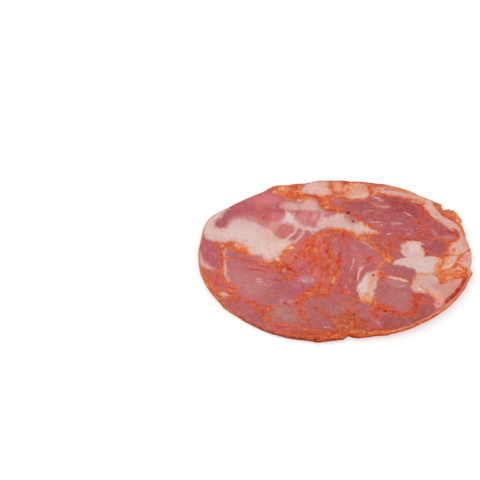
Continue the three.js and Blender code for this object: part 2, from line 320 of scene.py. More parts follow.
# Fat: how soft its edge is in mm, how pink it is, how frayed its edge is, the run of its fibres in degrees,
# and its outline.
FATS = {
    "cap": (1.25, 0.05, 0.5, 100, [
        (-44.8, 28.6), (-46.2, 26), (-48.2, 23), (-50.6, 19.6), (-49.6, 16.6), (-47, 15.8), (-45, 17.6),
        (-43, 20.2), (-40, 21.6), (-36, 20.8), (-32.4, 19.2), (-29, 17.2), (-26.4, 15.4), (-24.8, 12.8),
        (-22.4, 10.4), (-19.4, 9.4), (-17.2, 8), (-19.6, 4.8), (-22.4, 1.4), (-25, -1.6), (-27, -3.6),
        (-29, -2), (-30.4, 0.2), (-34, 0.8), (-35.8, 1.4), (-37, 4.2), (-39, 6.6), (-43, 7.8), (-49, 8),
        (-52.4, 8.8), (-54.4, 10.6), (-55.4, 14), (-54.4, 19), (-52, 23.2), (-48.4, 27)]),
    "star": (1.2, 0.05, 0.25, 80, [
        (-22.2, 19.6), (-21, 22), (-19.8, 24.2), (-19.4, 26.2), (-17.4, 26), (-16.4, 24), (-16.2, 21.4),
        (-14.6, 19.2), (-12.2, 18), (-9, 16.8), (-6, 16.6), (-6.4, 15), (-9, 14.9), (-12, 15.4),
        (-13.6, 16.8), (-15.2, 17), (-16.6, 19), (-19, 19.8)]),
    "saddle": (1.3, 0.15, 0.6, 80, [
        (-6.4, 18), (-5, 20.6), (-3, 22.8), (0, 23.8), (3, 25.2), (5.4, 25), (6.4, 22.8), (9, 20.8),
        (12, 20), (14, 18.2), (16.6, 16.2), (18.8, 14.6), (17, 14), (13, 13.6), (10, 12.8), (7.4, 14.6),
        (3.5, 15.6), (0, 16.6), (-3, 16.4), (-5.6, 16)]),
    "island": (1.4, 0.5, 0.3, 90, [
        (-20.6, 29.4), (-18.6, 31.6), (-15, 31.4), (-12.4, 31.8), (-10.5, 34), (-8.6, 34.6), (-7, 33.2),
        (-5.6, 30), (-5, 27.4), (-8, 26.8), (-12, 27.2), (-16, 27.6), (-19, 27.8)]),
    "top left": (1.0, 0.3, 0.3, 0, [
        (-12.8, 38.4), (-12.4, 41), (-10, 43.8), (-6.6, 45.8), (-2.6, 45.6), (-1, 44), (-1, 41.6),
        (0.4, 39.4), (0.2, 38), (-2, 36.8), (-4.2, 35.8), (-9, 37.4)]),
    "top right": (0.9, 0.5, 0.8, 70, [
        (5.8, 36.2), (6.4, 38.6), (5.6, 42), (8, 44.6), (12, 45), (15.6, 43.6), (16.6, 41), (16.8, 37.4),
        (15.4, 35.8), (13, 34.8), (9, 34.6), (7, 35.2)]),
    "among the top fats": (1.2, 0.6, 0.4, 70, [(1.6, 44.6), (4.6, 45), (5, 41), (3.6, 38.6), (2, 40.6)]),
    "top left lobe": (0.8, 0.8, 0.4, 0, [
        (-23.4, 40.6), (-22, 42.4), (-19.4, 42.4), (-18.4, 40.8), (-19.6, 39.6), (-22.4, 39.6)]),
    "shoulder": (0.6, 0.45, 0.4, -30, [
        (22, 40.4), (27, 39.6), (33, 38), (38, 35.4), (41, 33.6), (43.2, 33), (43.9, 30), (45.4, 26),
        (48.4, 22.4), (52.4, 18.8), (53.8, 15), (54.6, 9), (52.6, 9), (52.8, 12.6), (51.4, 15.4),
        (49.6, 15.6), (46.2, 19), (42.2, 24), (40, 29), (40, 31.6), (36.8, 33.3), (31, 35.9), (25, 37.6),
        (21.8, 38.4)]),
    "end": (0.5, 0.35, 0.3, 60, [
        (48.2, 4), (49.4, 6.4), (52, 9.4), (57, 9.6), (58.6, 5), (58.6, -1), (58, -6), (56.6, -9.4),
        (54.6, -13), (48, -13.8), (44.6, -13.8), (41.8, -12.4), (40.4, -9.6), (41, -5), (43, -2.8),
        (45, -1.8), (47, -0.4), (48, 1.8)]),
    "bay": (0.8, 0.15, 0.6, 130, [
        (28.4, 6), (30, 7.8), (33, 8.6), (35.4, 9), (37, 7.4), (37.0, 4.4), (37.4, 2), (36.4, -0.6),
        (30, -0.8), (28, 2.3)]),
    "wedge": (0.5, 0.05, 0.35, 160, [
        (24, -4), (29, -1.2), (35, -0.2), (41, -0.6), (44.4, -1.4), (44, -3.4), (41.6, -4.2), (41, -7.6),
        (40.6, -10), (36, -10.4), (33.2, -10.2), (32.6, -8.2), (28.5, -6.3)]),
    "lower right": (1.0, 0.5, 0.4, 120, [
        (33, -11.2), (36, -10.6), (39.6, -10.6), (41.6, -12.6), (42, -16), (45.5, -14.6), (50, -13),
        (52.4, -12.6), (51, -16.4), (48, -20), (45.4, -24), (43, -26), (40.8, -29.6), (39.2, -30.6),
        (38.8, -28), (39, -24.5), (36.5, -21.2), (32, -21), (30.4, -18), (31.6, -14)]),
    "column": (0.7, 0.2, 0.4, 78, [
        (12.8, -9.8), (14.6, -9.2), (17.8, -9), (17.4, -13), (16.2, -16), (15, -20), (14.4, -25.2),
        (11, -25.6), (8.9, -24.6), (8.2, -19.5), (8.5, -16.4), (9.9, -14.4), (11.2, -12)]),
    "column, point": (0.7, 0.6, 0.3, 78, [
        (8.6, -14), (9.2, -12), (10, -9.6), (11.6, -7), (10.6, -7), (9.4, -9.2), (8.7, -11.4)]),
    "sliver": (0.4, 0.2, 0.3, 170, [
        (19.6, -12.0), (23, -12), (26.2, -12.6), (29.8, -15.0), (26.6, -14.5), (23, -13.4)]),
    "lens edge": (1.4, 0.5, 0.3, -75, [
        (-57.4, 2.4), (-57, -1), (-56.4, -4), (-54, -7), (-50.4, -8.4), (-51.6, -6.8), (-54.2, -4.2),
        (-55.6, -1), (-56.2, 1.8)]),
    "left bit": (0.9, 0.85, 0.4, 0, [
        (-48.2, -20.8), (-46, -20.8), (-44.4, -22.2), (-45.8, -23.6), (-47.4, -22.8)]),
    "rim bit": (0.5, 0.5, 0.3, 0, [(-25.6, 38.8), (-24.6, 39.8), (-23.4, 38.8), (-24.6, 37.8)]),
    "upper bit": (0.5, 0.6, 0.3, 0, [
        (-15, 33.8), (-13.6, 34.6), (-12.4, 33.6), (-13.6, 32.4), (-14.8, 32.6)]),
}

# Tints that lie over the flesh where fat or tissue is just under the cut: colour, how plainly it shows on
# meat and on fat, softness in mm, and the outline.
TINTS = [
    # the cap and the star
    ((224, 182, 178), 0.4, 0.0, 1.6, [
        (-22, 20), (-20.6, 26), (-17.4, 26.6), (-14.6, 21), (-10, 18.4), (-8, 16), (-15, 17.4)]),
    ((220, 178, 174), 0.4, 0.0, 2.0, [(-44, 20), (-38, 24), (-28, 20.6), (-24, 16), (-26, 13), (-38, 18)]),
    ((220, 134, 136), 0.6, 0.0, 1.6, [(-27, 24.6), (-22.4, 26), (-21.6, 21.6), (-26, 20.6)]),
    ((224, 160, 159), 0.75, 0.7, 1.3, [
        (-27, 20), (-22.6, 21.6), (-20.6, 20), (-22.8, 18.6), (-24.6, 14.4), (-26.8, 16)]),
    ((224, 172, 160), 0.0, 0.5, 2.0, [(-31, 17), (-26, 17), (-22, 11), (-26, 5), (-29, 8)]),
    ((214, 166, 164), 0.0, 0.6, 1.8, [
        (-43, 21.6), (-38, 22.6), (-31, 20), (-31, 17.6), (-38, 19.4), (-43, 19)]),
    ((228, 200, 196), 0.0, 0.6, 2.5, [
        (-45, 15), (-36, 16), (-31, 11), (-28, 4), (-33, 3), (-38, 9), (-46, 11)]),
    ((222, 142, 112), 0.65, 0.0, 0.9, [(-9.4, 11.4), (-6.8, 12.6), (-5.4, 11), (-7.4, 9), (-9.2, 9.4)]),
    ((236, 197, 184), 0.0, 0.6, 1.6, [
        (-33, 5), (-26, 8), (-22, 8), (-20, 7), (-24, 1), (-27, -2), (-31, 1)]),
    ((226, 150, 128), 0.5, 0.75, 1.4, [
        (-30.4, 0), (-28, -1.6), (-25.4, -1.6), (-25, -3.6), (-28, -4.6), (-30, -3)]),
    ((208, 120, 118), 0.6, 0.0, 1.0, [(-33.6, 0.6), (-30.8, 0.4), (-29.4, -2), (-31, -4.4), (-34, -2.6)]),
    ((228, 190, 170), 0.0, 0.6, 1.0, [
        (-54.8, 14), (-53.6, 20), (-50, 25), (-48.6, 24.4), (-52, 19.6), (-52.6, 14)]),
    # under the saddle and beside the island
    ((216, 160, 160), 0.5, 0.0, 0.6, [(-8.8, 22), (-7.4, 22), (-6.4, 26), (-7.8, 26)]),
    ((214, 152, 152), 0.5, 0.0, 0.5, [(-12, 21), (-11.2, 21), (-10.6, 25.6), (-11.4, 25.6)]),
    ((226, 180, 176), 0.6, 0.0, 0.8, [(-8, 17), (-5.4, 18), (-4, 23), (-5, 23.4), (-6.6, 20)]),
    ((222, 174, 170), 0.4, 0.0, 1.0, [(-5, 27), (-2.6, 27.4), (-3.6, 23.4), (-5, 22.6)]),
    ((218, 158, 154), 0.7, 0.3, 1.4, [(-21, 32), (-18, 33), (-15, 31.4), (-18, 28.4), (-21.4, 28.6)]),
    ((217, 152, 134), 0.0, 0.65, 0.9, [(-11.4, 34.6), (-7.4, 34.6), (-6.4, 32.4), (-10.4, 32)]),
    ((218, 130, 98), 0.0, 0.6, 0.8, [(-23.4, 41.8), (-20.4, 42.4), (-20, 40), (-23, 40)]),
    ((222, 156, 152), 0.35, 0.0, 1.2, [(-29, 35.5), (-23, 36), (-22, 33.6), (-28, 33)]),
    ((194, 112, 106), 0.4, 0.9, 0.9, [(5.4, 23.8), (8.8, 23), (11.6, 20.6), (9.4, 18.6), (6, 19.4)]),
    ((214, 172, 166), 0.0, 0.6, 1.2, [(-2, 21.6), (4, 23.2), (10, 18.2), (15, 15.4), (8, 16.6), (0, 18.6)]),
    ((224, 168, 142), 0.0, 0.6, 0.8, [(-4, 17.4), (3, 16.6), (8, 14.6), (6, 14), (0, 15.6), (-4, 16)]),
    # the large and the outer muscle
    ((212, 146, 134), 0.75, 0.0, 1.0, [(17.4, 37), (19, 36.6), (22.6, 33), (21.4, 32.6), (18.6, 35)]),
    ((206, 134, 124), 0.5, 0.0, 1.1, [(16.8, 32.4), (19.4, 33), (19.6, 31), (18, 30.4)]),
    ((210, 138, 126), 0.75, 0.0, 0.8, [(18.6, 30.3), (24.6, 29.6), (24, 28.6), (19.6, 29.2)]),
    ((200, 118, 118), 0.4, 0.0, 0.8, [(14, 20.4), (20, 19.8), (23, 18), (20, 17.2), (16, 17.8)]),
    ((206, 132, 132), 0.5, 0.0, 0.8, [(24.4, 19.6), (29, 19.6), (28, 18.2), (25.6, 18)]),
    ((216, 154, 146), 0.65, 0.0, 1.0, [(41.8, 15.6), (43, 14.8), (44.2, 12.2), (43.2, 12)]),
    ((216, 142, 112), 0.75, 0.0, 1.0, [(44.6, 11.4), (48.4, 11.2), (50.4, 9.8), (47.6, 9.2), (45.4, 10.2)]),
    ((172, 66, 62), 0.5, 0.0, 1.2, [(36.2, 24), (38.4, 23), (37.6, 21.2), (35.6, 21.6)]),
    # the left of the slice
    ((218, 178, 174), 0.7, 0.0, 0.6, [(-46.4, 4.4), (-45.2, 4.2), (-45.4, 0.4), (-46.4, 0)]),
    ((218, 176, 174), 0.6, 0.0, 0.7, [
        (-46.6, -2.8), (-45.4, -3), (-45, -9), (-43.8, -14.6), (-45.6, -13), (-46.6, -8)]),
    ((214, 170, 172), 0.35, 0.0, 1.0, [(-32.6, -13.8), (-30.6, -13.8), (-30.6, -15.6), (-32.6, -15.6)]),
    ((212, 154, 154), 0.45, 0.0, 1.4, [(-15, -11.6), (-11, -11.6), (-9, -13.6), (-11, -15.6), (-14, -15)]),
    ((206, 150, 150), 0.25, 0.0, 1.2, [(-18.4, -15.4), (-16, -14.6), (-15.4, -17.6), (-17.6, -18)]),
    ((190, 98, 106), 0.8, 0.0, 1.4, [
        (-16.4, -2.6), (-13, -2.2), (-11.8, -6), (-13, -10), (-16.4, -9.6), (-17.4, -6)]),
    ((206, 118, 114), 0.6, 0.0, 1.0, [
        (-15.4, 8), (-13.4, 8.4), (-15.6, 4), (-19, 0), (-21.6, -3), (-22.6, -2), (-19, 3)]),
    # the foot and the barrel
    ((198, 102, 99), 0.5, 0.0, 1.4, [
        (-41, -27.4), (-36.6, -27.4), (-34, -30.4), (-36, -31.6), (-40, -29.4)]),
    ((166, 78, 80), 0.5, 0.0, 1.2, [(33, -30), (37, -29), (37.6, -32), (34, -35.4), (32, -34)]),
    ((188, 118, 110), 0.25, 0.0, 2.0, [(-28, -30), (-20, -28), (-16, -33), (-20, -37), (-26, -35)]),
    ((206, 152, 144), 0.25, 0.0, 0.9, [(-27, -29), (-23.6, -29.6), (-17, -35.6), (-18, -37), (-22, -34)]),
    ((222, 148, 126), 0.5, 0.0, 1.0, [(-20.2, -25), (-18, -25), (-17.6, -26.8), (-19.6, -27.2)]),
    ((214, 160, 154), 0.5, 0.0, 0.8, [(-23.6, -24.6), (-21.8, -24.8), (-22, -26), (-23.4, -26)]),
    ((206, 146, 138), 0.25, 0.0, 0.8, [(13.2, -35.4), (14.8, -35.4), (16.4, -40.2), (15.2, -40.2)]),
    ((202, 142, 138), 0.4, 0.0, 1.2, [(20, -13.6), (27, -15), (28, -17.6), (23, -18), (21, -16)]),
    ((196, 124, 118), 0.35, 0.0, 1.4, [(19, -24), (27, -22), (28, -27), (25, -31), (22, -27)]),
    # stretches of the fats, cleaner or pinker than the rest
    ((226, 204, 197), 0.0, 0.85, 0.7, [
        (11.2, -13), (12.8, -11.4), (13, -15), (12, -20), (9.6, -20.6), (9.2, -17)]),
    ((220, 158, 128), 0.0, 0.8, 1.0, [
        (13.6, -10), (17.6, -8.8), (17.4, -12.6), (15.6, -15.6), (13.8, -13.6)]),
    ((224, 154, 118), 0.0, 0.75, 1.7, [(8.6, -22.6), (13.8, -22), (14, -26.4), (8.6, -26.4)]),
    ((218, 170, 164), 0.0, 0.8, 0.8, [(28, 7), (30.2, 7.6), (31.4, 5), (30.6, 1), (28, 1.4)]),
    ((231, 199, 196), 0.0, 0.75, 0.9, [
        (-20.6, 20.6), (-19, 25), (-17.2, 25.6), (-16.4, 21.6), (-14.6, 18.4), (-17.4, 19.4)]),
    ((216, 148, 142), 0.0, 0.7, 0.8, [(-15.6, 31.4), (-12.8, 31.6), (-12.4, 29.4), (-14.8, 28.8)]),
    ((226, 194, 184), 0.0, 0.7, 1.0, [(10.4, 17.6), (13, 18), (16, 15.6), (13, 14.4), (10.6, 15.4)]),
    ((206, 140, 136), 0.0, 0.7, 0.5, [(30, 4.6), (31, 4.8), (31, 3.4), (30.2, 3.4)]),
    ((230, 206, 200), 0.0, 0.7, 1.0, [(31.6, 6.6), (35.4, 7), (36, 3), (32, 1.8)]),
    ((222, 182, 162), 0.0, 0.6, 1.0, [(29, -1.8), (44, -1.6), (43, -3.6), (34, -3.6)]),
    ((223, 197, 188), 0.0, 0.7, 1.0, [(30, -3.6), (39.6, -3.6), (39, -9), (35, -9), (34, -6)]),
    ((203, 130, 110), 0.0, 0.75, 1.2, [(45.6, -17), (51, -14), (49, -19), (44, -25), (42, -22)]),
    ((214, 176, 170), 0.0, 0.75, 1.2, [(34.6, -12), (38.6, -12), (39.6, -16.6), (36.6, -17.4)]),
    ((203, 140, 128), 0.0, 0.8, 1.1, [(38.6, -16.4), (42.6, -16), (45.4, -18.4), (43, -21.4), (39, -19)]),
    ((214, 130, 96), 0.0, 0.8, 0.9, [(43.4, -16.4), (44.6, -13.4), (48, -13.4), (48.4, -15.2), (46, -17.2)]),
    ((222, 168, 148), 0.0, 0.7, 1.0, [
        (31.6, -13.6), (33.6, -11.8), (34.6, -14.6), (34.6, -18.4), (31.6, -19.6)]),
    ((202, 130, 126), 0.3, 0.6, 0.6, [(38.6, -24.4), (39.8, -24.6), (40.2, -29), (39, -30.2)]),
    ((232, 182, 170), 0.0, 0.8, 1.2, [(-11.6, 39), (-9, 44), (-5, 45.4), (-2, 43), (-1.6, 38), (-6, 37.4)]),
    ((224, 160, 142), 0.0, 0.7, 0.9, [(-5.4, 44.6), (-1.6, 44.8), (-1.6, 41), (-4.6, 41.4)]),
    ((226, 160, 122), 0.0, 0.85, 1.2, [
        (6, 36.4), (6.4, 44), (10.6, 44.8), (11.4, 40.6), (8.4, 39.6), (8.8, 36.4)]),
    ((227, 166, 132), 0.0, 0.85, 1.2, [
        (9.4, 38), (10.8, 41), (12.6, 43.6), (13.6, 40), (15, 38.4), (12, 37.4)]),
    ((212, 138, 116), 0.0, 0.8, 0.8, [(13, 42.8), (15.4, 43), (16.6, 40), (15.4, 38.6), (14, 40)]),
    ((190, 150, 124), 0.0, 0.5, 0.7, [(11.6, 41.6), (13, 41.8), (13, 40.4), (11.8, 40.2)]),
    ((229, 184, 162), 0.0, 0.8, 1.0, [
        (9, 35.6), (11, 37.4), (13.4, 36.8), (16.2, 37.6), (15.4, 35.6), (11, 34.8)]),
    ((218, 104, 74), 0.85, 0.4, 0.9, [
        (-5.4, 35.6), (-1.6, 36.2), (-0.4, 33), (0.6, 30.6), (3.4, 29.2), (4, 26.8), (1, 26.6), (-3.4, 28.8),
        (-5, 32)]),
    ((220, 102, 60), 0.7, 0.0, 1.0, [(-20, 42), (-14, 42.6), (-13.6, 38), (-18, 36.4), (-20.4, 38)]),
    ((204, 118, 118), 0.8, 0.0, 0.9, [(0.2, 35.2), (3, 35.6), (4, 32.6), (2.4, 31.8), (0.8, 32.8)]),
    ((222, 150, 114), 0.0, 0.85, 1.0, [(43, -0.6), (48.4, -0.6), (47.4, -4), (45.6, -6.6), (43, -7)]),
    ((222, 136, 106), 0.0, 0.85, 0.9, [(51.8, -0.4), (54.6, 0.2), (55.6, -2.6), (53.4, -3.8)]),
    ((226, 140, 96), 0.0, 0.8, 0.8, [(50.6, -6), (53, -5.8), (55, -8.4), (50, -9)]),
    ((216, 118, 70), 0.0, 0.85, 0.9, [
        (42, -7.6), (44, -9), (54.6, -9), (54, -13), (48, -13.8), (43, -13.4), (40.6, -10)]),
    ((226, 152, 106), 0.0, 0.7, 0.6, [(45, -11), (46.8, -11), (47.4, -12.6), (45.2, -13)]),
    ((228, 172, 142), 0.0, 0.5, 1.2, [(49, 1), (48.6, 4), (50, 6), (52, 4), (56, 2), (55, 0.4), (52, 0)]),
    ((209, 154, 133), 0.0, 0.8, 0.8, [(55.4, 10), (57, 5), (56.6, 2), (54.6, 2.6), (53.2, 4.6), (53.8, 8)]),
    ((229, 158, 124), 0.0, 0.7, 0.6, [
        (22, 38), (30, 36.2), (36, 33.9), (40, 31.4), (40, 32.4), (36, 34.8), (30, 36.9), (22, 38.8)]),
    ((232, 186, 164), 0.0, 0.7, 0.9, [
        (40.6, 33), (43, 32.4), (43.6, 29), (42.6, 26.6), (41, 28), (40.6, 31)]),
    ((226, 156, 124), 0.8, 0.0, 0.8, [(24, 42.8), (34, 39.8), (41, 35.8), (37, 36), (30, 39), (24, 40.8)]),
    ((224, 150, 108), 0.7, 0.7, 0.9, [(1.4, 44.8), (5, 45), (5.4, 41), (3.8, 38.4), (2, 40.6)]),
    # the bulged end
    ((202, 118, 52), 0.75, 0.1, 0.7, [(44.4, 31.6), (45.8, 31), (47.4, 30.4), (47, 28.4), (45.6, 27)]),
    ((200, 136, 84), 0.8, 0.1, 0.7, [(46, 26), (49, 27), (52.6, 26.8), (52.8, 24), (51, 22.6), (48, 24)]),
    ((224, 148, 102), 0.85, 0.0, 0.6, [(49.6, 24.4), (52.6, 24.6), (54, 21), (53.4, 19.4), (51.2, 21.6)]),
    ((176, 132, 92), 0.7, 0.0, 0.5, [(50.6, 26.6), (52.4, 26.6), (52.2, 24.6), (50.8, 24.8)]),
    ((228, 150, 90), 0.8, 0.1, 0.6, [(53.4, 18.6), (55.4, 18.4), (56.2, 12), (55, 12.6), (54, 16)]),
]

